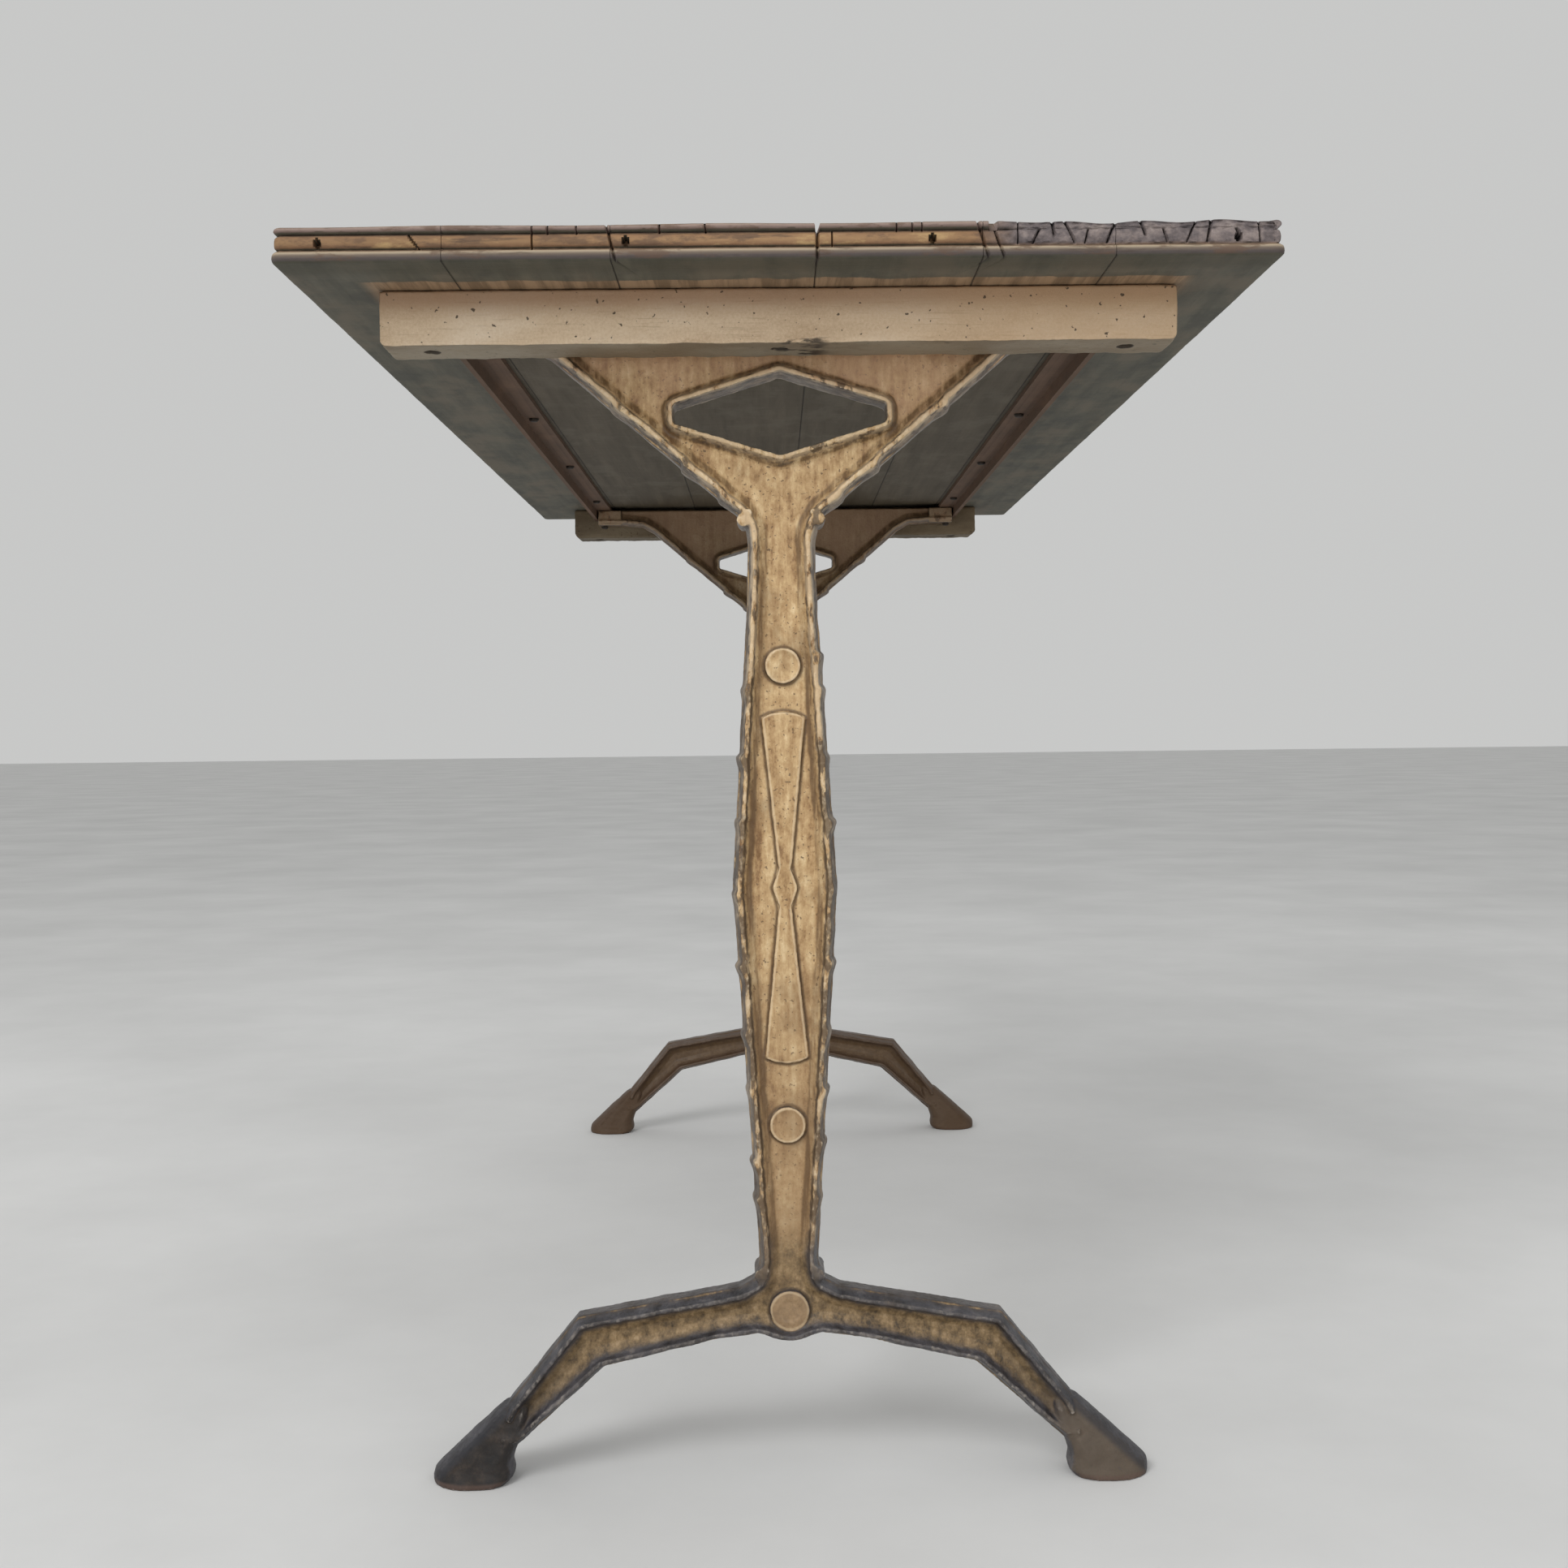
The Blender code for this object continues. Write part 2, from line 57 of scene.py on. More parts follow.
# Raised discs of the legs: height and radius. The last one is the hub.
DISCS = ((0.4675, 0.0103), (0.205, 0.0105), (0.098, 0.0115))
PADDLE_MIDDLE = 0.341
BATTEN_SCREW_X = 0.191
KNOBS = ((0.0210, 0.5500), (0.0162, 0.1195))
KNOB_RADIUS = 0.0039


# ---- Small helpers -------------------------------------------------------------------


def smooth_step(value, low, high):
    part = np.clip((value - low) / (high - low), 0.0, 1.0)
    return part * part * (3.0 - 2.0 * part)


def noise_at(points, scale, seed=0.0):
    shift = Vector((seed, seed * 1.7, -seed))
    return np.array([noise.noise(Vector(point) * scale + shift) for point in points])


def link(item):
    bpy.context.scene.collection.objects.link(item)


def mesh_object(name, vertices, faces, smooth=True):
    mesh = bpy.data.meshes.new(name)
    mesh.from_pydata([tuple(v) for v in vertices], [], [tuple(f) for f in faces])
    solid = bmesh.new()
    solid.from_mesh(mesh)
    bmesh.ops.recalc_face_normals(solid, faces=solid.faces)
    solid.to_mesh(mesh)
    solid.free()
    if smooth:
        mesh.shade_smooth()
    item = bpy.data.objects.new(name, mesh)
    link(item)
    return item


def apply_modifiers(item):
    bpy.context.view_layer.update()
    depsgraph = bpy.context.evaluated_depsgraph_get()
    mesh = bpy.data.meshes.new_from_object(item.evaluated_get(depsgraph))
    old = item.data
    item.modifiers.clear()
    item.data = mesh
    if old.users == 0:
        bpy.data.meshes.remove(old)


def join(name, items):
    """One object from several closed solids, which may overlap."""
    merged = bmesh.new()
    for item in items:
        mesh = item.data.copy()
        mesh.transform(item.matrix_world)
        merged.from_mesh(mesh)
        bpy.data.meshes.remove(mesh)
        bpy.data.objects.remove(item)
    mesh = bpy.data.meshes.new(name)
    merged.to_mesh(mesh)
    merged.free()
    result = bpy.data.objects.new(name, mesh)
    link(result)
    return result


def fuse(item, voxel, rounds):
    """Fuses overlapping solids into one skin and rounds it like a casting."""
    remesh = item.modifiers.new("fuse", "REMESH")
    remesh.mode = "VOXEL"
    remesh.voxel_size = voxel
    remesh.use_smooth_shade = True
    soften = item.modifiers.new("soften", "SMOOTH")
    soften.factor = 0.5
    soften.iterations = rounds
    apply_modifiers(item)


def roughen(item, scale, height, seed, limit=None):
    """Moves every point along its normal by low noise. limit scales it by place."""
    mesh = item.data
    count = len(mesh.vertices)
    places = np.empty(count * 3)
    normals = np.empty(count * 3)
    mesh.vertices.foreach_get("co", places)
    mesh.vertices.foreach_get("normal", normals)
    places = places.reshape(-1, 3)
    normals = normals.reshape(-1, 3)
    amount = noise_at(places, scale, seed) * height
    if limit is not None:
        amount *= limit(places)
    mesh.vertices.foreach_set("co", (places + normals * amount[:, None]).ravel())
    mesh.update()


# ---- Materials -----------------------------------------------------------------------


class Finish:
    """A Principled material and short ways to add nodes to it."""

    def __init__(self, name, roughness=0.6, metallic=0.0, specular=0.4):
        self.material = bpy.data.materials.new(name)
        self.material.use_nodes = True
        self.tree = self.material.node_tree
        self.shader = self.tree.nodes["Principled BSDF"]
        self.shader.inputs["Roughness"].default_value = roughness
        self.shader.inputs["Metallic"].default_value = metallic
        self.shader.inputs["Specular IOR Level"].default_value = specular
        self.place = self.node("ShaderNodeTexCoord").outputs["Object"]
        self.geometry = self.node("ShaderNodeNewGeometry")
        self.xyz = self.split(self.place)
        self.normal = self.split(self.geometry.outputs["Normal"])
        self.edge = self.geometry.outputs["Pointiness"]

    def node(self, kind):
        return self.tree.nodes.new(kind)

    def put(self, socket, value):
        if isinstance(value, bpy.types.NodeSocket):
            self.tree.links.new(value, socket)
        elif isinstance(value, (tuple, list)) and len(value) == 3 and socket.type == "RGBA":
            socket.default_value = (*value, 1.0)
        else:
            socket.default_value = value

    def split(self, vector):
        node = self.node("ShaderNodeSeparateXYZ")
        self.put(node.inputs[0], vector)
        return node.outputs

    def math(self, operation, first, second=0.0, clamp=False):
        node = self.node("ShaderNodeMath")
        node.operation = operation
        node.use_clamp = clamp
        self.put(node.inputs[0], first)
        self.put(node.inputs[1], second)
        return node.outputs[0]

    def times(self, first, second):
        return self.math("MULTIPLY", first, second)

    def plus(self, first, second):
        return self.math("ADD", first, second)

    def minus(self, first, second):
        return self.math("SUBTRACT", first, second)

    def size(self, value):
        return self.math("ABSOLUTE", value)

    def between(self, value, low, high, start=0.0, end=1.0):
        node = self.node("ShaderNodeMapRange")
        node.interpolation_type = "SMOOTHSTEP"
        for socket, number in zip(node.inputs, (value, low, high, start, end)):
            self.put(socket, number)
        return node.outputs[0]

    def between_linear(self, value, low, high, start, end):
        node = self.node("ShaderNodeMapRange")
        for socket, number in zip(node.inputs, (value, low, high, start, end)):
            self.put(socket, number)
        return node.outputs[0]

    def noise(self, scale, stretch=(1.0, 1.0, 1.0), detail=5.0, rough=0.55, seed=0.0):
        mapping = self.node("ShaderNodeMapping")
        mapping.inputs["Scale"].default_value = stretch
        mapping.inputs["Location"].default_value = (seed, seed * 0.7, -seed)
        self.put(mapping.inputs[0], self.place)
        node = self.node("ShaderNodeTexNoise")
        node.inputs["Scale"].default_value = scale
        node.inputs["Detail"].default_value = detail
        node.inputs["Roughness"].default_value = rough
        self.put(node.inputs["Vector"], mapping.outputs[0])
        return node.outputs[0]

    def mix(self, amount, first, second, blend="MIX"):
        node = self.node("ShaderNodeMix")
        node.data_type = "RGBA"
        node.blend_type = blend
        self.put(node.inputs[0], amount)
        self.put(node.inputs[6], first)
        self.put(node.inputs[7], second)
        return node.outputs[2]

    def ramp(self, value, stops):
        node = self.node("ShaderNodeValToRGB")
        while len(node.color_ramp.elements) < len(stops):
            node.color_ramp.elements.new(1.0)
        for element, (position, colour) in zip(node.color_ramp.elements, stops):
            element.position = position
            element.color = (*colour, 1.0)
        self.put(node.inputs[0], value)
        return node.outputs[0]

    def finish(self, colour, height=None, depth=0.0005, roughness=None):
        self.put(self.shader.inputs["Base Color"], colour)
        if roughness is not None:
            self.put(self.shader.inputs["Roughness"], roughness)
        if height is not None:
            bump = self.node("ShaderNodeBump")
            bump.inputs["Strength"].default_value = 0.8
            bump.inputs["Distance"].default_value = depth
            self.put(bump.inputs["Height"], height)
            self.put(self.shader.inputs["Normal"], bump.outputs[0])
        return self.material


def ornament_lines(f, x, z):
    """Masks of the painted shade line round the raised ornament, the painted highlight edge inside it,
    and the hub.
    """
    across = f.size(x)
    up = f.size(f.minus(z, PADDLE_MIDDLE))
    paddle = f.between_linear(up, 0.0135, 0.0965, 0.0040, 0.0124)
    lens = f.between_linear(up, 0.0, 0.0135, 0.0072, 0.0034)
    beyond = f.minus(across, f.math("MAXIMUM", paddle, lens))
    crown = f.minus(0.1008, f.times(f.times(across, across), 22.0))
    beyond = f.math("MAXIMUM", beyond, f.minus(up, crown))
    hub = None
    for place, radius in DISCS:
        rise = f.minus(z, place)
        square = f.plus(f.times(across, across), f.times(rise, rise))
        away = f.minus(f.math("SQRT", square), radius)
        beyond = f.math("MINIMUM", beyond, away)
        hub = f.between(away, 0.0008, -0.0002)
    wander = f.times(f.minus(f.noise(160.0, seed=51.0), 0.5), 0.0012)
    beyond = f.plus(beyond, wander)
    outline = f.times(f.between(beyond, -0.0004, 0.0003), f.between(beyond, 0.0022, 0.0007))
    edge = f.times(f.between(beyond, -0.0020, -0.0011), f.between(beyond, 0.0, -0.0006))
    return outline, edge, hub, f.between(beyond, 0.0002, 0.0010)


def iron_paint():
    """Worn tan paint over dark iron, with painted shade in the hollows, along the rims, round the
    ornament and on the far leg, and painted light on the head and the ornament's edges. It darkens
    towards the feet.
    """
    f = Finish("worn_painted_iron", roughness=0.5, specular=0.45)
    x, y, z = f.xyz[0], f.xyz[1], f.xyz[2]
    streaks = f.noise(60.0, (2.6, 1.0, 0.26), detail=8.0, rough=0.6)
    mottle = f.noise(230.0, (1.0, 1.0, 0.6), detail=8.0, rough=0.72, seed=21.0)
    blotches = f.noise(24.0, detail=6.0, seed=3.0)
    specks = f.noise(520.0, detail=2.0, seed=5.0)
    depth = f.math(
        "MINIMUM",
        f.size(f.minus(y, LEG_FRONT_Y)),
        f.size(f.minus(y, LEG_REAR_Y)),
    )
    proud = f.between(depth, 0.0082, 0.0116)
    tone = f.plus(f.times(streaks, 0.5), f.times(mottle, 0.5))
    tan = f.ramp(
        tone,
        (
            (0.37, (0.190, 0.096, 0.034)),
            (0.45, (0.390, 0.240, 0.106)),
            (0.53, (0.525, 0.355, 0.176)),
            (0.63, (0.700, 0.530, 0.305)),
        ),
    )
    brown = (0.180, 0.096, 0.036)
    stained = f.mix(f.between(blotches, 0.49, 0.64, 0.0, 0.50), tan, brown)
    stained = f.mix(f.between(specks, 0.64, 0.69, 0.0, 0.75), stained, (0.080, 0.045, 0.020))
    # The head is pinker and lightened, as painted light against the batten's shade. Browner down the
    # lower column.
    wavy_z = f.plus(z, f.times(f.minus(blotches, 0.5), 0.10))
    head_painted_light = f.between(wavy_z, 0.590, 0.650, 0.0, 0.60)
    stained = f.mix(head_painted_light, stained, (0.690, 0.425, 0.265))
    stained = f.mix(f.between(z, 0.36, 0.15, 0.0, 0.55), stained, (0.300, 0.190, 0.098))
    # The raised ornament is outlined in brown painted shade, with a painted highlight on the edge inside
    # the line.
    outline, painted_highlight_edge, hub, off_ornament = ornament_lines(f, x, z)
    stained = f.mix(f.times(painted_highlight_edge, 0.50), stained, (0.720, 0.560, 0.360))
    stained = f.mix(f.times(outline, 0.78), stained, (0.105, 0.058, 0.024))
    # Painted shade lies along the foot of the rims, broken up by the streaks.
    rim_foot_shade = f.times(f.between(depth, 0.0056, 0.0066), f.between(depth, 0.0096, 0.0078))
    rim_foot_shade = f.times(rim_foot_shade, f.between(streaks, 0.60, 0.42, 0.25, 0.85))
    rim_foot_shade = f.times(rim_foot_shade, off_ornament)
    stained = f.mix(rim_foot_shade, stained, (0.120, 0.066, 0.028))
    # The feet are bronze on the web and blue-black iron on the rims and hooves.
    bronze = f.ramp(
        f.noise(190.0, (1.0, 1.0, 0.8), detail=9.0, rough=0.74, seed=9.0),
        (
            (0.34, (0.048, 0.032, 0.017)),
            (0.45, (0.140, 0.090, 0.041)),
            (0.57, (0.250, 0.166, 0.080)),
            (0.70, (0.370, 0.262, 0.150)),
        ),
    )
    bronze = f.mix(f.between(f.size(x), 0.105, 0.150, 0.0, 0.45), bronze, (0.070, 0.052, 0.034))
    bronze = f.mix(f.times(hub, 0.55), bronze, (0.330, 0.215, 0.120))
    # On the feet too: painted highlight on the ornament's edge, painted shade round it.
    bronze = f.mix(f.times(painted_highlight_edge, 0.55), bronze, (0.520, 0.390, 0.240))
    bronze = f.mix(f.times(outline, 0.75), bronze, (0.040, 0.026, 0.014))
    low = f.between(wavy_z, 0.165, 0.112)
    painted = f.mix(low, stained, bronze)
    iron = f.ramp(
        f.noise(80.0, detail=7.0, rough=0.65, seed=15.0),
        ((0.36, (0.020, 0.019, 0.022)), (0.58, (0.062, 0.060, 0.068)), (0.76, (0.170, 0.150, 0.140))),
    )
    slope = f.between(depth, 0.0064, 0.0102)
    slope = f.times(slope, f.minus(1.0, hub))
    painted = f.mix(f.times(f.times(low, slope), 0.92), painted, iron)
    foot_x = f.size(x)
    hoof_mask = f.times(f.between(foot_x, 0.140, 0.160), f.between(z, 0.062, 0.042))
    hoof_tone = f.ramp(
        f.noise(95.0, detail=8.0, rough=0.7, seed=31.0),
        ((0.36, (0.006, 0.005, 0.005)), (0.54, (0.018, 0.013, 0.010)), (0.72, (0.055, 0.038, 0.027))),
    )
    hoof_tone = f.mix(f.between(x, 0.10, 0.15, 0.0, 0.60), hoof_tone, (0.150, 0.112, 0.078))
    front_line = f.plus(foot_x, f.times(z, 1.09))
    ridge = f.between(front_line, 0.2030, 0.2090)
    hoof_tone = f.mix(f.times(ridge, 0.75), hoof_tone, (0.022, 0.023, 0.029))
    hoof_tone = f.mix(f.between(z, 0.0040, 0.0022, 0.0, 0.6), hoof_tone, (0.110, 0.066, 0.050))
    painted = f.mix(f.times(hoof_mask, 0.93), painted, hoof_tone)
    # Side walls carry little paint, and the rims' narrow faces are ragged cream.
    facing = f.size(f.normal[1])
    wall = f.plus(facing, f.times(f.minus(mottle, 0.5), 0.60))
    side = f.between(wall, 0.72, 0.40)
    slate = f.ramp(
        f.noise(130.0, (1.0, 1.0, 0.5), detail=7.0, rough=0.65, seed=12.0),
        (
            (0.36, (0.022, 0.019, 0.018)),
            (0.50, (0.078, 0.062, 0.050)),
            (0.64, (0.250, 0.195, 0.138)),
        ),
    )
    bare = f.mix(low, slate, iron)
    painted = f.mix(f.times(side, 0.88), painted, bare)
    ragged = f.noise(170.0, (1.0, 1.0, 0.45), detail=6.0, rough=0.6, seed=41.0)
    ragged = f.minus(ragged, f.between(z, 0.50, 0.36, 0.0, 0.125))
    above_feet = f.minus(1.0, f.math("MAXIMUM", low, hoof_mask))
    cream_rim = f.times(f.times(proud, above_feet), f.between(ragged, 0.44, 0.50))
    dark_rim = f.times(f.times(proud, above_feet), f.between(ragged, 0.43, 0.38))
    painted = f.mix(f.times(cream_rim, 0.52), painted, (0.660, 0.510, 0.330))
    painted = f.mix(f.times(dark_rim, 0.78), painted, (0.070, 0.046, 0.028))
    # Painted shade in the hollows.
    hollow_shade = f.times(f.between(f.edge, 0.492, 0.440), f.between(streaks, 0.62, 0.40, 0.35, 1.0))
    painted = f.mix(f.times(hollow_shade, 0.72), painted, (0.060, 0.034, 0.015))
    # Light marks on the sharp edges: partly worn cream chips, partly painted highlights, in grey on the
    # feet.
    chips_and_highlights = f.times(f.between(f.edge, 0.525, 0.575), f.between(mottle, 0.44, 0.54))
    cream = f.mix(f.math("MAXIMUM", low, hoof_mask), (0.76, 0.62, 0.43), (0.34, 0.30, 0.26))
    painted = f.mix(f.times(chips_and_highlights, 0.80), painted, cream)
    # Painted shade: the far leg is darker all over, most at the foot.
    far = f.between(y, 0.1, 0.4, 0.0, 0.66)
    far = f.times(far, f.plus(1.0, f.times(low, 0.22)))
    painted = f.mix(far, painted, (0.084, 0.046, 0.021))
    height = f.plus(mottle, f.times(specks, 0.5))
    matt = f.between(blotches, 0.35, 0.7, 0.46, 0.64)
    shine = f.minus(f.times(side, 0.16), f.times(hoof_mask, 0.20))
    return f.finish(painted, height, 0.0006, f.minus(matt, shine))


def batten_paint():
    """Beige paint: lighter below, pinker at the top, specked, with painted shade underneath and on the
    far batten.
    """
    f = Finish("worn_batten_paint", roughness=0.62, specular=0.35)
    x, y, z = f.xyz[0], f.xyz[1], f.xyz[2]
    clouds = f.noise(20.0, (0.55, 1.0, 1.3), detail=6.0, rough=0.6)
    mottle = f.noise(620.0, detail=6.0, rough=0.75, seed=4.0)
    specks = f.noise(240.0, detail=2.0, seed=8.0)
    low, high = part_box("batten_front")
    tone = f.plus(f.times(clouds, 0.60), f.times(mottle, 0.40))
    paint = f.ramp(
        tone,
        ((0.36, (0.530, 0.375, 0.235)), (0.50, (0.700, 0.540, 0.370)), (0.64, (0.800, 0.660, 0.500))),
    )
    scratches = f.noise(260.0, (0.10, 1.0, 2.4), detail=6.0, rough=0.7, seed=44.0)
    paint = f.mix(f.between(scratches, 0.56, 0.68, 0.0, 0.42), paint, (0.330, 0.215, 0.125))
    crown = f.between(z, high[2] - 0.019, high[2] - 0.004, 0.0, 0.80)
    paint = f.mix(crown, paint, (0.335, 0.195, 0.110))
    warm = f.between(x, -0.02, 0.16, 0.0, 0.50)
    paint = f.mix(warm, paint, (0.540, 0.350, 0.195))
    paint = f.mix(f.between(specks, 0.665, 0.70, 0.0, 0.9), paint, (0.070, 0.046, 0.030))
    # Painted shade on the downward faces and on the far batten.
    downward_shade = f.between(f.normal[2], -0.35, -0.85, 0.0, 0.86)
    cloudy = f.between(clouds, 0.4, 0.6)
    paint = f.mix(downward_shade, paint, f.mix(cloudy, (0.135, 0.105, 0.066), (0.205, 0.175, 0.125)))
    far = f.between(y, 0.2, 0.4, 0.0, 0.88)
    paint = f.mix(far, paint, f.mix(cloudy, (0.062, 0.044, 0.022), (0.125, 0.094, 0.052)))
    # A dark worn line on the front's lower edge, right of the middle.
    patch = f.times(f.between(x, -0.003, 0.004), f.between(x, 0.030, 0.020))
    patch = f.times(patch, f.between(z, low[2] + 0.0040, low[2] + 0.0015))
    patch = f.times(patch, f.between(f.noise(150.0, (0.4, 1.0, 1.6), seed=33.0), 0.46, 0.54))
    paint = f.mix(f.times(patch, 0.9), paint, (0.030, 0.022, 0.016))
    # Painted shade in the counterbores.
    across = f.size(x)
    off_x = f.math("MINIMUM", across, f.size(f.minus(across, BATTEN_SCREW_X)))
    off_y = f.math(
        "MINIMUM",
        f.size(f.minus(y, (low[1] + high[1]) / 2)),
        f.size(f.minus(y, sum(corner[1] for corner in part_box("batten_rear")) / 2)),
    )
    square = f.plus(f.times(off_x, off_x), f.times(off_y, off_y))
    bore_shade = f.between(f.math("SQRT", square), 0.0052, 0.0044)
    paint = f.mix(f.times(bore_shade, 0.93), paint, (0.022, 0.016, 0.011))
    worn = f.times(f.between(f.edge, 0.525, 0.57), f.between(clouds, 0.47, 0.56))
    paint = f.mix(f.times(worn, 0.7), paint, (0.095, 0.070, 0.045))
    return f.finish(paint, f.plus(mottle, f.times(specks, 0.3)), 0.0004)


def rust():
    f = Finish("rusty_rail", roughness=0.78, metallic=0.15, specular=0.3)
    patches = f.noise(45.0, (1.0, 0.4, 1.0), detail=8.0, rough=0.65)
    grit = f.noise(500.0, detail=3.0, seed=6.0)
    colour = f.ramp(
        patches,
        ((0.35, (0.020, 0.013, 0.010)), (0.52, (0.058, 0.030, 0.020)), (0.70, (0.120, 0.066, 0.040))),
    )
    worn = f.between(f.edge, 0.53, 0.60, 0.0, 0.5)
    colour = f.mix(worn, colour, (0.20, 0.125, 0.080))
    return f.finish(colour, f.plus(patches, f.times(grit, 0.5)), 0.0006)


def screw_steel():
    f = Finish("dark_screw_steel", roughness=0.6, metallic=0.4, specular=0.4)
    patches = f.noise(600.0, detail=4.0)
    colour = f.ramp(patches, ((0.35, (0.014, 0.010, 0.008)), (0.65, (0.050, 0.036, 0.026))))
    return f.finish(colour, patches, 0.0002)


def old_wood(charred):
    """Boards: moulded edge in three tones, grey underside, stained brown upper face."""
    f = Finish("charred_board" if charred else "aged_board", roughness=0.72, specular=0.3)
    x, y, z = f.xyz[0], f.xyz[1], f.xyz[2]
    grain = f.noise(60.0, (1.8, 0.10, 1.0), detail=8.0, rough=0.65)
    end_grain = f.noise(75.0, (0.30, 1.0, 3.0), detail=7.0, rough=0.65, seed=2.0)
    blotches = f.noise(14.0, detail=6.0, seed=7.0)
    patches = f.noise(52.0, (0.60, 1.0, 1.8), detail=8.0, rough=0.68, seed=17.0)
    rise = f.math("DIVIDE", f.minus(z, TOP_LOW.z), THICKNESS, clamp=True)
    # The moulded edge in three tones, with a painted highlight along the top of the lip and painted shade
    # on the lip's underside, in the groove below the bead and on the bead's lower half.
    edge = f.ramp(
        rise,
        (
            (0.02, (0.074, 0.064, 0.056)),
            (0.10, (0.078, 0.062, 0.058)),
            (0.18, (0.140, 0.108, 0.084)),
            (0.25, (0.360, 0.290, 0.205)),
            (0.31, (0.230, 0.155, 0.100)),
            (0.40, (0.200, 0.108, 0.058)),
            (0.54, (0.300, 0.180, 0.090)),
            (0.67, (0.250, 0.142, 0.072)),
            (0.75, (0.105, 0.064, 0.046)),
            (0.80, (0.130, 0.090, 0.076)),
            (0.89, (0.225, 0.162, 0.138)),
            (0.98, (0.330, 0.250, 0.205)),
        ),
    )
    edge = f.mix(f.between(patches, 0.49, 0.39, 0.0, 0.70), edge, (0.110, 0.066, 0.044))
    in_band = f.times(f.between(rise, 0.34, 0.42), f.between(rise, 0.72, 0.62))
    outwards = f.between(f.size(x), 0.06, 0.13, 0.0, 0.30)
    edge = f.mix(f.times(in_band, outwards), edge, (0.130, 0.072, 0.036))
    bright = f.times(in_band, f.between(patches, 0.53, 0.66, 0.0, 0.65))
    edge = f.mix(bright, edge, (0.440, 0.300, 0.140))
    edge = f.mix(f.between(end_grain, 0.44, 0.34, 0.0, 0.55), edge, (0.060, 0.040, 0.030))
    edge = f.mix(f.between(end_grain, 0.60, 0.74, 0.0, 0.30), edge, (0.40, 0.300, 0.210))
    # Underside: grey-green margins, browner between the rails, beige slop by the battens.
    margin = f.ramp(
        grain,
        ((0.30, (0.074, 0.070, 0.054)), (0.52, (0.102, 0.097, 0.074)), (0.74, (0.136, 0.126, 0.096))),
    )
    inner = f.ramp(
        grain,
        ((0.30, (0.056, 0.044, 0.027)), (0.52, (0.080, 0.064, 0.042)), (0.74, (0.112, 0.090, 0.062))),
    )
    wash = f.noise(34.0, (1.0, 0.55, 1.0), detail=7.0, rough=0.62, seed=23.0)
    margin = f.mix(f.between(wash, 0.46, 0.62, 0.0, 0.55), margin, (0.165, 0.135, 0.098))
    margin = f.mix(f.between(wash, 0.46, 0.34, 0.0, 0.50), margin, (0.050, 0.052, 0.046))
    inner = f.mix(f.between(wash, 0.48, 0.64, 0.0, 0.40), inner, (0.130, 0.112, 0.084))
    across = f.size(x)
    front_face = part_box("batten_front")[0][1]
    between_rails = f.times(
        f.between(across, 0.186, 0.176), f.between(y, front_face, front_face + 0.03)
    )
    under = f.mix(between_rails, margin, inner)
    by_lip = f.between(y, TOP_LOW.y + 0.034, TOP_LOW.y + 0.016, 0.0, 0.50)
    under = f.mix(by_lip, under, (0.056, 0.051, 0.032))
    ragged_y = f.plus(y, f.times(f.minus(end_grain, 0.5), 0.012))
    ragged_y = f.plus(ragged_y, f.times(f.minus(patches, 0.5), 0.016))
    by_batten = f.times(
        f.between(ragged_y, front_face - 0.0172, front_face - 0.0150),
        f.between(across, 0.226, 0.214),
    )
    by_batten = f.times(by_batten, f.between(y, front_face + 0.05, front_face + 0.04))
    beige = f.mix(f.between(grain, 0.40, 0.60), (0.200, 0.130, 0.074), (0.370, 0.245, 0.145))
    under = f.mix(f.times(by_batten, 0.88), under, beige)
    upper = f.ramp(
        grain,
        ((0.32, (0.060, 0.036, 0.020)), (0.5, (0.150, 0.096, 0.054)), (0.7, (0.240, 0.165, 0.100))),
    )
    upper = f.mix(f.between(blotches, 0.5, 0.7, 0.0, 0.5), upper, (0.075, 0.050, 0.032))
    # Thin dark seams where the boards meet.
    seam = None
    for box in BOARD_BOXES[1:]:
        away = f.size(f.minus(x, box[0][0]))
        seam = away if seam is None else f.math("MINIMUM", seam, away)
    seam = f.plus(seam, f.times(f.minus(grain, 0.5), 0.0010))
    upper = f.mix(f.between(seam, 0.0011, 0.0004, 0.0, 0.85), upper, (0.018, 0.011, 0.007))
    under = f.mix(f.between(seam, 0.0009, 0.0003, 0.0, 0.60), under, (0.022, 0.019, 0.014))
    colour = f.mix(f.between(f.normal[2], -0.55, -0.9), edge, under)
    colour = f.mix(f.between(f.normal[2], 0.60, 0.92), colour, upper)
    uneven = f.minus(blotches, 0.5)
    scorch = f.plus(x, f.times(uneven, 0.03))
    far_in = f.plus(y, f.times(uneven, 0.42))
    near = f.between(far_in, TOP_LOW.y + 0.17, TOP_LOW.y + 0.07)
    above = f.between(rise, 0.30, 0.42)
    burnt = f.times(f.between(scorch, 0.098, 0.125), above)
    burnt = f.times(burnt, near)
    char = f.ramp(
        f.noise(120.0, (0.8, 1.0, 1.0), detail=8.0, rough=0.7, seed=11.0),
        (
            (0.34, (0.036, 0.032, 0.036)),
            (0.50, (0.125, 0.106, 0.108)),
            (0.62, (0.220, 0.182, 0.172)),
            (0.76, (0.330, 0.280, 0.262)),
        ),
    )
    char = f.mix(f.between(rise, 0.80, 1.00, 0.0, 0.50), char, (0.016, 0.013, 0.019))
    colour = f.mix(f.times(burnt, 0.95), colour, char)
    # Painted shade in the splits and hollows of the wood.
    hollow_shade = f.between(f.edge, 0.47, 0.40)
    colour = f.mix(f.times(hollow_shade, 0.9), colour, (0.010, 0.007, 0.005))
    relief = f.plus(grain, f.times(end_grain, f.between(burnt, 0.0, 1.0, 1.0, 0.25)))
    return f.finish(colour, relief, 0.0006)


# ---- The plank top -------------------------------------------------------------------

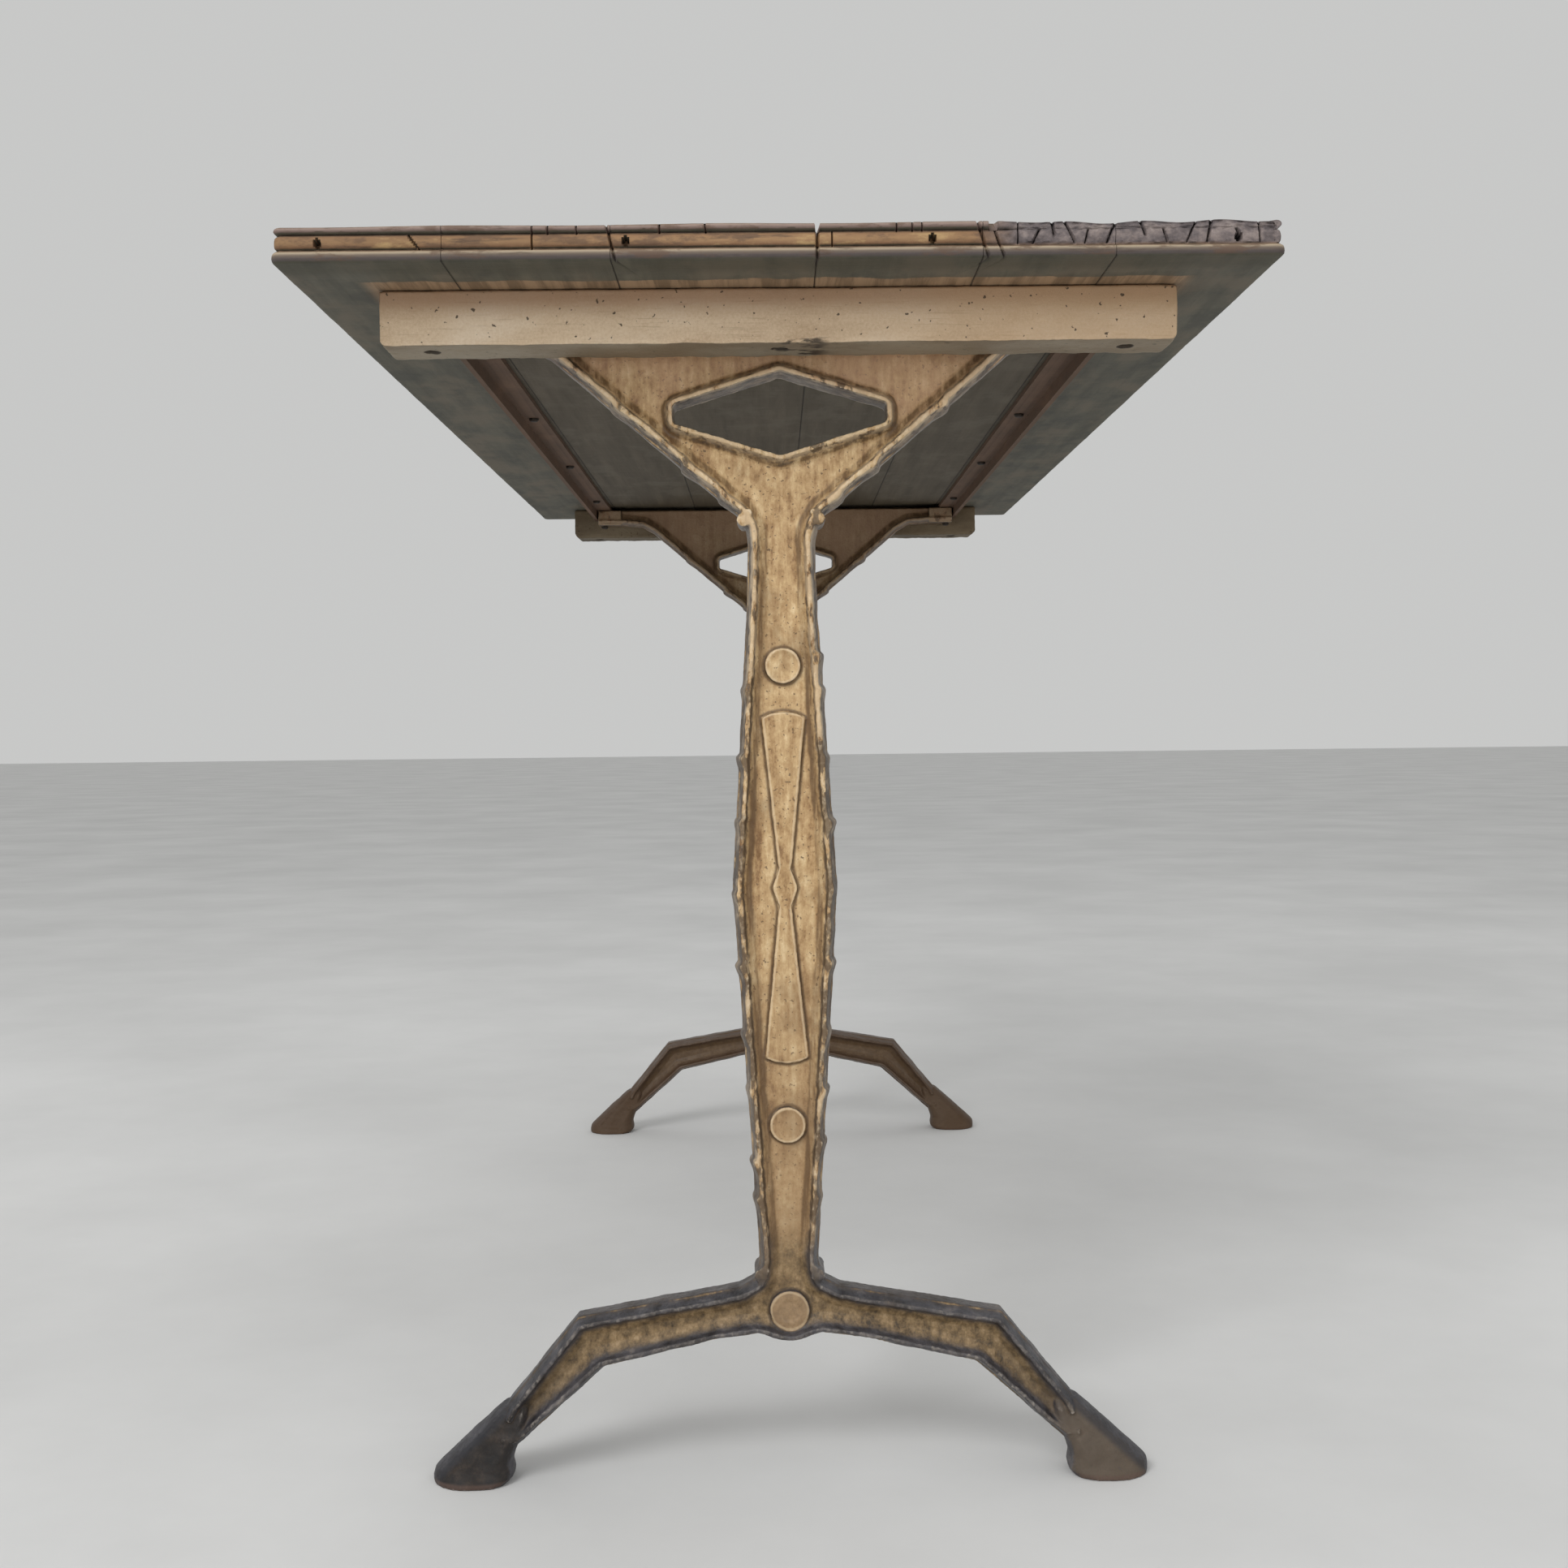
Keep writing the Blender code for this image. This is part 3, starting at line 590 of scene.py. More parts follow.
# Section of the moulded edge: height above the underside, inset, all in metres.
EDGE_SECTION = (
    (0.0000, 0.0700), (0.0000, 0.0450), (0.0000, 0.0280), (0.0000, 0.0160), (0.0000, 0.0085),
    (0.0000, 0.0042), (0.0000, 0.0022), (0.0004, 0.0009), (0.0013, 0.0002), (0.0026, 0.0000),
    (0.0041, 0.0001), (0.0052, 0.0006), (0.0059, 0.0017), (0.0062, 0.0031), (0.0068, 0.0033),
    (0.0072, 0.0024), (0.0081, 0.0018), (0.0093, 0.0016), (0.0105, 0.0015), (0.0117, 0.0016),
    (0.0128, 0.0019), (0.0136, 0.0026), (0.0141, 0.0038), (0.0146, 0.0039), (0.0150, 0.0026),
    (0.0156, 0.0017), (0.0164, 0.0012), (0.0172, 0.0012), (0.0180, 0.0017), (0.0186, 0.0027),
    (0.0188, 0.0042), (0.0188, 0.0085), (0.0188, 0.0160), (0.0188, 0.0280), (0.0188, 0.0450),
    (0.0188, 0.0700),
)
UNDER_ROWS = 6
UPPER_ROWS = 6
CORNER_RADIUS = 0.006
# Splits of the near edge: place across, width, lowest and highest height, lean, run.
SPLITS = (
    (-0.186, 0.0013, 0.0070, 0.0140, 0.75, 0.0), (-0.126, 0.0009, 0.0060, 0.0188, 0.00, 0.0),
    (-0.118, 0.0012, 0.0140, 0.0188, 0.00, 0.0), (-0.103, 0.0012, 0.0140, 0.0188, 0.05, 0.0),
    (-0.086, 0.0016, 0.0000, 0.0188, 0.25, 0.030), (-0.061, 0.0012, 0.0140, 0.0188, 0.00, 0.0),
    (-0.037, 0.0012, 0.0140, 0.0188, 0.10, 0.0), (0.0195, 0.0022, 0.0000, 0.0188, 0.00, 0.024),
    (0.027, 0.0009, 0.0070, 0.0140, 0.00, 0.0), (0.060, 0.0010, 0.0140, 0.0188, 0.00, 0.0),
    (0.068, 0.0011, 0.0140, 0.0188, 0.00, 0.0), (0.073, 0.0010, 0.0140, 0.0188, 0.00, 0.0),
    (0.104, 0.0020, 0.0000, 0.0188, 0.30, 0.030), (0.1115, 0.0016, 0.0000, 0.0140, 0.35, 0.030),
)
CHAR_SPLITS = (
    0.122, 0.132, 0.1405, 0.149, 0.1575, 0.1695, 0.187, 0.197, 0.2105, 0.220, 0.235, 0.2460,
)
LOST_BEAD = (0.1075, 0.1115)
OPEN_JOINT = (0.0186, 0.0204)
EDGE_HOLES = (-0.235, -0.0783, 0.0783, 0.235)


def edge_path():
    """Points round the top with their outward normals, dense along the near end."""
    half_x = (TOP_HIGH.x - TOP_LOW.x) / 2
    half_y = (TOP_HIGH.y - TOP_LOW.y) / 2
    r = CORNER_RADIUS
    path = []

    def run(start, end, normal, step):
        count = max(1, round((Vector(end) - Vector(start)).length / step))
        for i in range(count):
            point = Vector(start).lerp(Vector(end), i / count)
            path.append((point.x, point.y, *normal))

    def turn(centre, first):
        for i in range(8):
            angle = math.radians(first + 90.0 * i / 8)
            across, along = math.cos(angle), math.sin(angle)
            path.append((centre[0] + r * across, centre[1] + r * along, across, along))

    run((-half_x + r, -half_y), (half_x - r, -half_y), (0.0, -1.0), 0.0003)
    turn((half_x - r, -half_y + r), -90.0)
    run((half_x, -half_y + r), (half_x, half_y - r), (1.0, 0.0), 0.004)
    turn((half_x - r, half_y - r), 0.0)
    run((half_x - r, half_y), (-half_x + r, half_y), (0.0, 1.0), 0.0015)
    turn((-half_x + r, half_y - r), 90.0)
    run((-half_x, half_y - r), (-half_x, -half_y + r), (-1.0, 0.0), 0.004)
    turn((-half_x + r, -half_y + r), 180.0)
    return np.array(path)


def split_depth(x, height, inset, is_near):
    """How far every point of the near edge gives way to the splits."""
    depth = np.zeros_like(x)
    for place, width, low, high, lean, length in SPLITS:
        middle = place + lean * (0.0094 - height) + 0.25 * lean * np.minimum(inset, 0.03)
        wedge = np.clip(1.0 - np.abs(x - middle) / (width / 2), 0.0, 1.0)
        inside = smooth_step(height, low - 0.0006, low) * smooth_step(-height, -high - 0.0006, -high)
        fade = np.where(inset > 0.004, np.clip(1.0 - inset / max(length, 0.004), 0.0, 1.0), 1.0)
        depth = np.maximum(depth, 0.0038 * wedge * inside * fade)
    for index, place in enumerate(CHAR_SPLITS):
        width = 0.0009 + 0.0013 * abs(math.sin(index * 2.3))
        middle = place + 0.50 * math.sin(index * 1.7) * (height - 0.012)
        wedge = np.clip(1.0 - np.abs(x - middle) / (width / 2), 0.0, 1.0)
        low = 0.0066 + 0.0034 * (index % 4 == 2)
        high = 0.0188 - 0.0052 * (index % 3 == 1)
        inside = smooth_step(height, low, low + 0.0012) * smooth_step(-height, -high - 0.0010, -high)
        fade = np.where(inset > 0.004, np.clip(1.0 - inset / 0.020, 0.0, 1.0), 1.0)
        depth = np.maximum(depth, 0.0036 * wedge * inside * fade)
    return depth * is_near


def moulded_top():
    """The whole top as one skin: a fine frame round its edge and two large faces."""
    path = edge_path()
    section = np.array(EDGE_SECTION)
    rows = len(section)
    count = len(path)
    height = np.repeat(section[None, :, 0], count, axis=0)
    inset = np.repeat(section[None, :, 1], count, axis=0)
    px = np.repeat(path[:, 0:1], rows, axis=1)
    py = np.repeat(path[:, 1:2], rows, axis=1)
    nx = np.repeat(path[:, 2:3], rows, axis=1)
    ny = np.repeat(path[:, 3:4], rows, axis=1)
    # Past the rounded corner the rows shrink towards the middle instead of crossing.
    x = px - nx * np.minimum(inset, CORNER_RADIUS * 0.9)
    y = py - ny * np.minimum(inset, CORNER_RADIUS * 0.9)
    extra = np.maximum(inset - CORNER_RADIUS * 0.9, 0.0)
    half_x = (TOP_HIGH.x - TOP_LOW.x) / 2 - CORNER_RADIUS * 0.9
    half_y = (TOP_HIGH.y - TOP_LOW.y) / 2 - CORNER_RADIUS * 0.9
    x *= 1.0 - extra / half_x
    y *= 1.0 - extra / half_y
    is_near = smooth_step(-ny, 0.05, 0.80)
    is_edge = np.zeros_like(x)
    is_edge[:, UNDER_ROWS:rows - UPPER_ROWS] = 1.0

    places = np.stack([x, y, height * 6.0], axis=-1).reshape(-1, 3)
    coarse = noise_at(places, 28.0, 1.0).reshape(x.shape)
    fine = noise_at(places, 260.0, 2.0).reshape(x.shape)
    scorched = smooth_step(x, 0.100, 0.125) * is_near
    upper = smooth_step(height, 0.0060, 0.0080)
    # Scorched wood has lost its moulding: one rounded block above the lip.
    lump = 0.0016 + 0.0030 * smooth_step(height, 0.0160, 0.0188)
    lump = lump + 0.0012 * smooth_step(-height, -0.0080, -0.0062)
    block = smooth_step(px, 0.112, 0.128) * is_near * smooth_step(height, 0.0062, 0.0070)
    block *= 1.0 - smooth_step(height, 0.0176, 0.0187)
    change = (lump - inset) * 0.82 * block * is_edge
    y -= ny * change
    retreat = is_edge * (0.00035 + 0.0003 * coarse + 0.00018 * fine)
    retreat += is_edge * scorched * upper * np.maximum(0.0, 0.0006 + 0.0006 * fine + 0.0010 * coarse)
    retreat += is_edge * upper * smooth_step(x, 0.235, 0.2595) * 0.0022 * is_near
    left, right = LOST_BEAD
    lost = smooth_step(px, left - 0.0006, left) * smooth_step(-px, -right - 0.0006, -right)
    retreat += is_edge * lost * is_near * smooth_step(height, 0.0138, 0.0146) * 0.0030
    for place in EDGE_HOLES:
        far = np.hypot(px - place, (height - 0.0098))
        retreat += np.where((far < 0.0020) & (is_near > 0), 0.0075, 0.0) * is_edge
    splits = split_depth(px, height, inset, is_near)
    retreat += splits * is_edge
    x -= nx * retreat
    y -= ny * retreat
    z = TOP_LOW.z + height
    into = splits * 0.45
    z[:, :UNDER_ROWS] += into[:, :UNDER_ROWS]
    z[:, rows - UPPER_ROWS:] -= into[:, rows - UPPER_ROWS:]
    sink = 0.0006 * smooth_step(px, 0.095, 0.160) * (1.0 + np.sin(px * 160.0)) * is_near
    sink += 0.00025 * (1.0 + np.sin(px * 47.0)) * is_near
    z -= sink * smooth_step(height, 0.0138, 0.0175) * np.where(inset > 0.05, 0.0, 1.0)
    rounded = smooth_step(px, 0.2470, 0.2595) ** 2 * smooth_step(height, 0.0115, 0.0180) * is_near
    z -= 0.0030 * rounded * (inset < 0.02)
    # Two places where the bead is gone: an open joint and a lost piece.
    for (left, right), run_in in ((OPEN_JOINT, 0.018), (LOST_BEAD, 0.0075)):
        gone = smooth_step(px, left - 0.0004, left) * smooth_step(-px, -right - 0.0004, -right)
        gone = gone * is_near * (inset < run_in)
        z -= gone * np.maximum(height - 0.0140, 0.0)

    vertices = np.stack([x, y, z], axis=-1).reshape(-1, 3)
    faces = []
    for i in range(count):
        after = (i + 1) % count
        for j in range(rows - 1):
            a, b = i * rows + j, after * rows + j
            faces.append((a, b, b + 1, a + 1))
    faces.append([i * rows for i in range(count)][::-1])
    faces.append([i * rows + rows - 1 for i in range(count)])
    return vertices, faces


def make_boards(wood, burnt_wood):
    vertices, faces = moulded_top()
    whole = mesh_object("moulded_top", vertices, faces)
    for name, (low, high) in zip(BOARDS, BOARD_BOXES):
        solid = bmesh.new()
        solid.from_mesh(whole.data)
        # The tongue is inside the joint, so the seen board ends at the joint itself.
        right = high[0] if name == BOARDS[-1] else high[0] - 0.005
        for limit, side in ((low[0], 1.0), (right, -1.0)):
            if abs(limit) > TOP_HIGH.x - 0.002:
                continue
            everything = list(solid.verts) + list(solid.edges) + list(solid.faces)
            cut = bmesh.ops.bisect_plane(
                solid, geom=everything, dist=1e-6, plane_co=(limit, 0.0, 0.0),
                plane_no=(side, 0.0, 0.0), clear_inner=True,
            )
            edges = [item for item in cut["geom_cut"] if isinstance(item, bmesh.types.BMEdge)]
            bmesh.ops.edgeloop_fill(solid, edges=edges)
        bmesh.ops.triangulate(solid, faces=[face for face in solid.faces if len(face.verts) > 4])
        bmesh.ops.recalc_face_normals(solid, faces=solid.faces)
        mesh = bpy.data.meshes.new("moulded_" + name)
        solid.to_mesh(mesh)
        solid.free()
        mesh.shade_smooth()
        mesh.set_sharp_from_angle(angle=math.radians(50))
        board = bpy.data.objects.new("moulded_" + name, mesh)
        link(board)
        charred = name == BOARDS[-1]
        mesh.materials.append(burnt_wood if charred else wood)
        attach(board, "root")
        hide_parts(name)
    bpy.data.objects.remove(whole)


# ---- Cast legs -----------------------------------------------------------------------

HALF_DEPTH = 0.0135
WEB_HALF = 0.0055
RIM_STEP = 0.0012
CASTING_VOXEL = 0.0008
BAR_END = (0.1885, 0.6515)
BAR_TOP = 0.6668
UPPER_EDGE = (
    BAR_END, (0.162, 0.6512), (0.142, 0.6495), (0.130, 0.6430), (0.0245, 0.5530), (0.0186, 0.5450),
    (0.0200, 0.500), (0.0230, 0.455), (0.0262, 0.400), (0.0298, 0.343), (0.0268, 0.290),
    (0.0224, 0.220), (0.0168, 0.128), (0.0192, 0.1168), (0.0290, 0.1114), (0.1220, 0.0955),
    (0.1625, 0.0460), (0.1655, 0.0390),
)
LOWER_EDGE = (
    (0.1660, 0.0230), (0.1570, 0.0222), (0.1495, 0.0285), (0.1070, 0.0665), (0.0435, 0.0808),
    (0.0185, 0.0842), (0.0121, 0.0826), (0.0060, 0.0801), (0.0, 0.0794),
)
# Past the crest, the inner side of a rim takes only part of the outer side's bumps.
RIM_CREST = -0.0045
INNER_SHARE = 0.35
# Rim section: offset from the outline along its normal, and depth. The faces draft in.
RIM_SECTION = (
    (-0.0031, -0.0134), (-0.0014, -0.0085), (0.0, -0.0025), (0.0, 0.0025), (-0.0014, 0.0085),
    (-0.0031, 0.0134), (-0.0051, 0.0134), (-0.0062, 0.0100), (-0.0082, 0.0078),
    (-0.0118, 0.0056), (-0.0130, 0.0030), (-0.0130, -0.0030), (-0.0118, -0.0056),
    (-0.0082, -0.0078), (-0.0062, -0.0100), (-0.0051, -0.0134),
)
COLLARS = (
    (0.4740, 0.4545, 0.4160, 0.3790, 0.2990, 0.2600, 0.2260, 0.1960, 0.1640),
    (0.4545, 0.4160, 0.3794, 0.3382, 0.2970, 0.2580, 0.2260, 0.1850, 0.1640),
)
ARM_COLLARS = (0.6130, 0.5793, 0.5617, 0.5450)
DIAMOND = ((0.0, 0.633), (0.0600, 0.6146), (0.0600, 0.6046), (0.0, 0.5862))
HOOF_FRONT = ((0.0447, 0.1660), (0.0300, 0.1828), (0.0085, 0.2058), (0.0040, 0.2068), (0.0, 0.2064))
HOOF_BACK = (
    (0.0447, 0.1500), (0.0305, 0.1505), (0.0240, 0.1565), (0.0175, 0.1592), (0.0115, 0.1610),
    (0.0065, 0.1597), (0.0030, 0.1602), (0.0, 0.1630),
)
# Half width of the hoof at each of its levels.
HOOF_LEVELS = (0.0, 0.003, 0.006, 0.020, 0.034, 0.041, 0.0447)
HOOF_WIDTHS = (0.0176, 0.0174, 0.0162, 0.0148, 0.0138, 0.0132, 0.0095)


def resample(points, step, closed=False):
    loop = [Vector(point) for point in points]
    if closed:
        loop.append(loop[0])
    result = []
    for start, end in zip(loop, loop[1:]):
        count = max(1, round((end - start).length / step))
        result += [start.lerp(end, i / count) for i in range(count)]
    if not closed:
        result.append(loop[-1])
    line = np.array(result)
    for _ in range(2):
        blurred = line.copy()
        if closed:
            blurred = (np.roll(line, 1, 0) + 2 * line + np.roll(line, -1, 0)) / 4
        else:
            blurred[1:-1] = (line[:-2] + 2 * line[1:-1] + line[2:]) / 4
        line = blurred
    return line


def sweep(name, line, section, outward, closed=False, swell=None):
    """Carries a section along a line in X and Z. outward picks the normal's side."""
    ahead = np.roll(line, -1, 0) - np.roll(line, 1, 0)
    if not closed:
        ahead[0] = line[1] - line[0]
        ahead[-1] = line[-1] - line[-2]
    ahead /= np.linalg.norm(ahead, axis=1)[:, None]
    normal = outward * np.stack([ahead[:, 1], -ahead[:, 0]], axis=1)
    vertices = []
    size = len(section)
    for i, point in enumerate(line):
        rise = 0.0 if swell is None else swell[i]
        for offset, depth in section:
            move = offset + (rise if offset > RIM_CREST else rise * INNER_SHARE)
            vertices.append((point[0] + normal[i][0] * move, depth, point[1] + normal[i][1] * move))
    faces = []
    count = len(line)
    for i in range(count if closed else count - 1):
        after = (i + 1) % count
        for j in range(size):
            k = (j + 1) % size
            faces.append((i * size + j, after * size + j, after * size + k, i * size + k))
    if not closed:
        faces.append(list(range(size)))
        faces.append([(count - 1) * size + j for j in range(size)][::-1])
    return mesh_object(name, vertices, faces, smooth=False)


def plate(name, outline, half_depth, bevel=0.0):
    """Flat closed plate in X and Z, with its faces set in by a bevel."""
    curve = bpy.data.curves.new(name, "CURVE")
    curve.dimensions = "2D"
    curve.fill_mode = "BOTH"
    curve.extrude = half_depth - bevel
    curve.bevel_depth = bevel
    curve.bevel_resolution = 1
    curve.offset = -bevel
    for points in outline:
        spline = curve.splines.new("POLY")
        spline.points.add(len(points) - 1)
        for point, (x, z) in zip(spline.points, points):
            point.co = (x, z, 0.0, 1.0)
        spline.use_cyclic_u = True
    holder = bpy.data.objects.new(name, curve)
    link(holder)
    bpy.context.view_layer.update()
    depsgraph = bpy.context.evaluated_depsgraph_get()
    mesh = bpy.data.meshes.new_from_object(holder.evaluated_get(depsgraph))
    for vertex in mesh.vertices:
        x, z, depth = vertex.co
        vertex.co = (x, -depth, z)
    solid = bmesh.new()
    solid.from_mesh(mesh)
    bmesh.ops.remove_doubles(solid, verts=solid.verts, dist=0.00001)
    bmesh.ops.recalc_face_normals(solid, faces=solid.faces)
    solid.to_mesh(mesh)
    solid.free()
    bpy.data.objects.remove(holder)
    item = bpy.data.objects.new(name, mesh)
    link(item)
    return item


def ring_points(x, z, radius, count=40):
    return [
        (x + radius * math.cos(2 * math.pi * i / count), z + radius * math.sin(2 * math.pi * i / count))
        for i in range(count)
    ]


def mirrored(right):
    return list(right) + [(-x, z) for x, z in reversed(right) if x > 0.0]


def collar_swell(line, side):
    """Small saw-toothed collars along the rim, as on bark."""
    heights = list(COLLARS[0 if side > 0 else 1]) + list(ARM_COLLARS)
    swell = np.zeros(len(line))
    for index, height in enumerate(heights):
        above = line[:, 1] - height
        tooth = np.where(above > 0, np.exp(-(above / 0.0010) ** 2), np.exp(-(above / 0.0055) ** 2))
        on_edge = (line[:, 1] > 0.13).astype(float)
        swell += (0.0015 + 0.0005 * math.sin(index * 2.1 + side)) * tooth * on_edge
    wobble = noise_at([(p[0], side * 2.0, p[1]) for p in line], 75.0, 4.0)
    return swell + 0.0007 * wobble


def hoof(side):
    """Hoof from rounded level sections, flared at the sole."""
    front = np.array(HOOF_FRONT)[::-1]
    back = np.array(HOOF_BACK)[::-1]
    levels = np.concatenate([np.linspace(0.0, 0.006, 5), np.linspace(0.008, 0.0447, 18)])
    vertices = []
    count = 40
    for level in levels:
        toe = np.interp(level, front[:, 0], front[:, 1])
        heel = np.interp(level, back[:, 0], back[:, 1])
        half = (toe - heel) / 2
        width = np.interp(level, HOOF_LEVELS, HOOF_WIDTHS)
        for i in range(count):
            angle = 2 * math.pi * i / count
            c, s = math.cos(angle), math.sin(angle)
            # The toe is round in plan and the heel is blunt.
            power = 1.0 if c > 0 else 0.72
            x = (toe + heel) / 2 + half * math.copysign(abs(c) ** power, c)
            y = width * math.copysign(abs(s) ** power, s)
            # A hollow panel on each face, between the toe's ridge and the heel's.
            part = (x - heel) / max(toe - heel, 0.001)
            panel = smooth_step(part, 0.22, 0.34) * smooth_step(-part, -0.84, -0.70)
            panel *= smooth_step(level, 0.0045, 0.0085)
            groove = 0.0012 * math.exp(-(((part - 0.46) / 0.035) ** 2)) * smooth_step(level, 0.008, 0.013)
            y -= math.copysign(0.0024 * panel + groove, y) * min(1.0, abs(y) / 0.006)
            vertices.append((side * x, y, level))
    faces = []
    for k in range(len(levels) - 1):
        for i in range(count):
            after = (i + 1) % count
            low, high = k * count, (k + 1) * count
            faces.append((low + i, low + after, high + after, high + i))
    faces.append(list(range(count))[::-1])
    faces.append([(len(levels) - 1) * count + i for i in range(count)])
    return mesh_object("hoof", vertices, faces, smooth=False)


def proud_parts(places):
    """One on the rims, a little on the web: only the rims are ragged."""
    return 0.25 + 0.75 * smooth_step(np.abs(places[:, 1]), 0.0085, 0.0125)


def casting():
    """One leg: web, drafted rims, diamond, ornament and hooves, fused like a casting."""
    pieces = []
    for side in (1, -1):
        line = resample([(side * x, z) for x, z in UPPER_EDGE], RIM_STEP)
        swell = collar_swell(line, side)
        pieces.append(sweep("upper_rim", line, RIM_SECTION, -side, swell=swell))
        lug = [(0.1640, BAR_END[1]), BAR_END, (BAR_END[0], BAR_TOP), (0.1640, BAR_TOP)]
        pieces.append(plate("lug", [[(side * x, z) for x, z in lug]], HALF_DEPTH - 0.0015, 0.0010))
        pieces.append(hoof(side))
        for x, z in KNOBS:
            pieces.append(plate("curl", [ring_points(side * x, z, KNOB_RADIUS, 24)], HALF_DEPTH - 0.0006))
            bead = [ring_points(side * (x - 0.0022), z + 0.0034, 0.0024, 16)]
            pieces.append(plate("curl_bead", bead, HALF_DEPTH - 0.0001))
            eye = [ring_points(side * (x + 0.0007), z - 0.0005, 0.0019, 16)]
            pieces.append(plate("curl_eye", eye, HALF_DEPTH + 0.0002))
    lower = resample(LOWER_EDGE + tuple((-x, z) for x, z in LOWER_EDGE[-2::-1]), RIM_STEP)
    wobble = noise_at([(p[0], 5.0, p[1]) for p in lower], 60.0, 6.0) * 0.0009
    pieces.append(sweep("lower_rim", lower, RIM_SECTION, -1, swell=wobble))

    web = list(UPPER_EDGE[:-1]) + [(0.1650, 0.0260)] + list(LOWER_EDGE)[1:]
    web = [(BAR_END[0] - 0.003, BAR_TOP)] + web
    web[1] = (BAR_END[0] - 0.003, BAR_END[1] + 0.002)
    hole = mirrored(DIAMOND)
    outline = mirrored(web)
    pieces.append(plate("web", [outline, hole], WEB_HALF))
    diamond = resample(hole, RIM_STEP, closed=True)
    diamond_section = (
        (0.0006, -0.0128), (0.0, -0.0070), (0.0, 0.0070), (0.0006, 0.0128), (0.0027, 0.0128),
        (0.0040, 0.0098), (0.0058, 0.0072), (0.0076, 0.0050), (0.0076, -0.0050),
        (0.0058, -0.0072), (0.0040, -0.0098), (0.0027, -0.0128),
    )
    # The diamond's rim grows away from its opening.
    pieces.append(sweep("diamond_rim", diamond, diamond_section, -1, closed=True))

    relief = WEB_HALF + 0.0026
    for z, radius in DISCS:
        pieces.append(plate("disc", [ring_points(0.0, z, radius)], relief, 0.0006))
        rim = [ring_points(0.0, z, radius - 0.0003), ring_points(0.0, z, radius - 0.0018)]
        pieces.append(plate("disc_rim", rim, relief + 0.0006))
    hub_z = DISCS[-1][0]
    hub_ring = [ring_points(0.0, hub_z, 0.0090), ring_points(0.0, hub_z, 0.0066)]
    pieces.append(plate("hub_ring", hub_ring, relief + 0.0007))
    paddle = [(0.0, 0.4415), (0.0073, 0.4406), (0.0112, 0.4388), (0.0122, 0.4370), (0.0040, 0.3545)]
    lens = [(0.0032, 0.3520), (0.0070, 0.3425), (0.0070, 0.3395), (0.0032, 0.3300)]
    lower_paddle = [(0.0040, 0.3275), (0.0122, 0.2450), (0.0112, 0.2432), (0.0073, 0.2414), (0.0, 0.2405)]
    pieces.append(plate("paddles", [mirrored(paddle + lens + lower_paddle)], WEB_HALF + 0.0022, 0.0005))
    leg = join("cast_leg", pieces)
    fuse(leg, CASTING_VOXEL, 2)
    roughen(leg, 90.0, 0.00040, 3.0)
    roughen(leg, 230.0, 0.00034, 8.0, proud_parts)
    roughen(leg, 600.0, 0.00014, 5.0)
    for vertex in leg.data.vertices:
        vertex.co.z = max(vertex.co.z, 0.0)
    return leg


def make_legs(material):
    leg = casting()
    leg.data.materials.clear()
    leg.data.materials.append(material)
    leg.data.shade_smooth()
    leg.name = "cast_leg_front"
    other = leg.copy()
    other.data = leg.data.copy()
    other.name = "cast_leg_rear"
    link(other)
    for item, y, node in ((leg, LEG_FRONT_Y, "leg_front"), (other, LEG_REAR_Y, "leg_rear")):
        for vertex in item.data.vertices:
            vertex.co.y += y
        item.data.update()
        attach(item, "root")
        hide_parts(node)


# ---- Battens -------------------------------------------------------------------------

BATTEN_VOXEL = 0.0012


def make_battens(material):
    for index, node in enumerate(("batten_front", "batten_rear")):
        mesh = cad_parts[node].data.copy()
        batten = bpy.data.objects.new("worn_" + node, mesh)
        link(batten)
        fuse(batten, BATTEN_VOXEL, 2)
        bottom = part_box(node)[0][2]

        def near_edges(places):
            below = np.abs(places[:, 2] - bottom) < 0.004
            return np.where(below, 1.9, 0.8)

        roughen(batten, 60.0, 0.00040, 2.0 + index, near_edges)
        roughen(batten, 300.0, 0.00018, 7.0 + index, near_edges)
        batten.data.materials.clear()
        batten.data.materials.append(material)
        batten.data.shade_smooth()
        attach(batten, "root")
        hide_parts(node)


# ---- Stage, light and camera ---------------------------------------------------------


def make_stage():
    f = Finish("pale_floor", roughness=0.75, specular=0.25)
    tone = f.noise(2.2, detail=8.0, rough=0.6)
    colour = f.ramp(tone, ((0.35, (0.62, 0.62, 0.615)), (0.65, (0.70, 0.70, 0.695))))
    bpy.ops.mesh.primitive_plane_add(size=60.0, location=(0.0, 0.0, -0.0002))
    floor = bpy.context.object
    floor.name = "floor"
    floor.data.materials.append(f.finish(colour, tone, 0.0006))


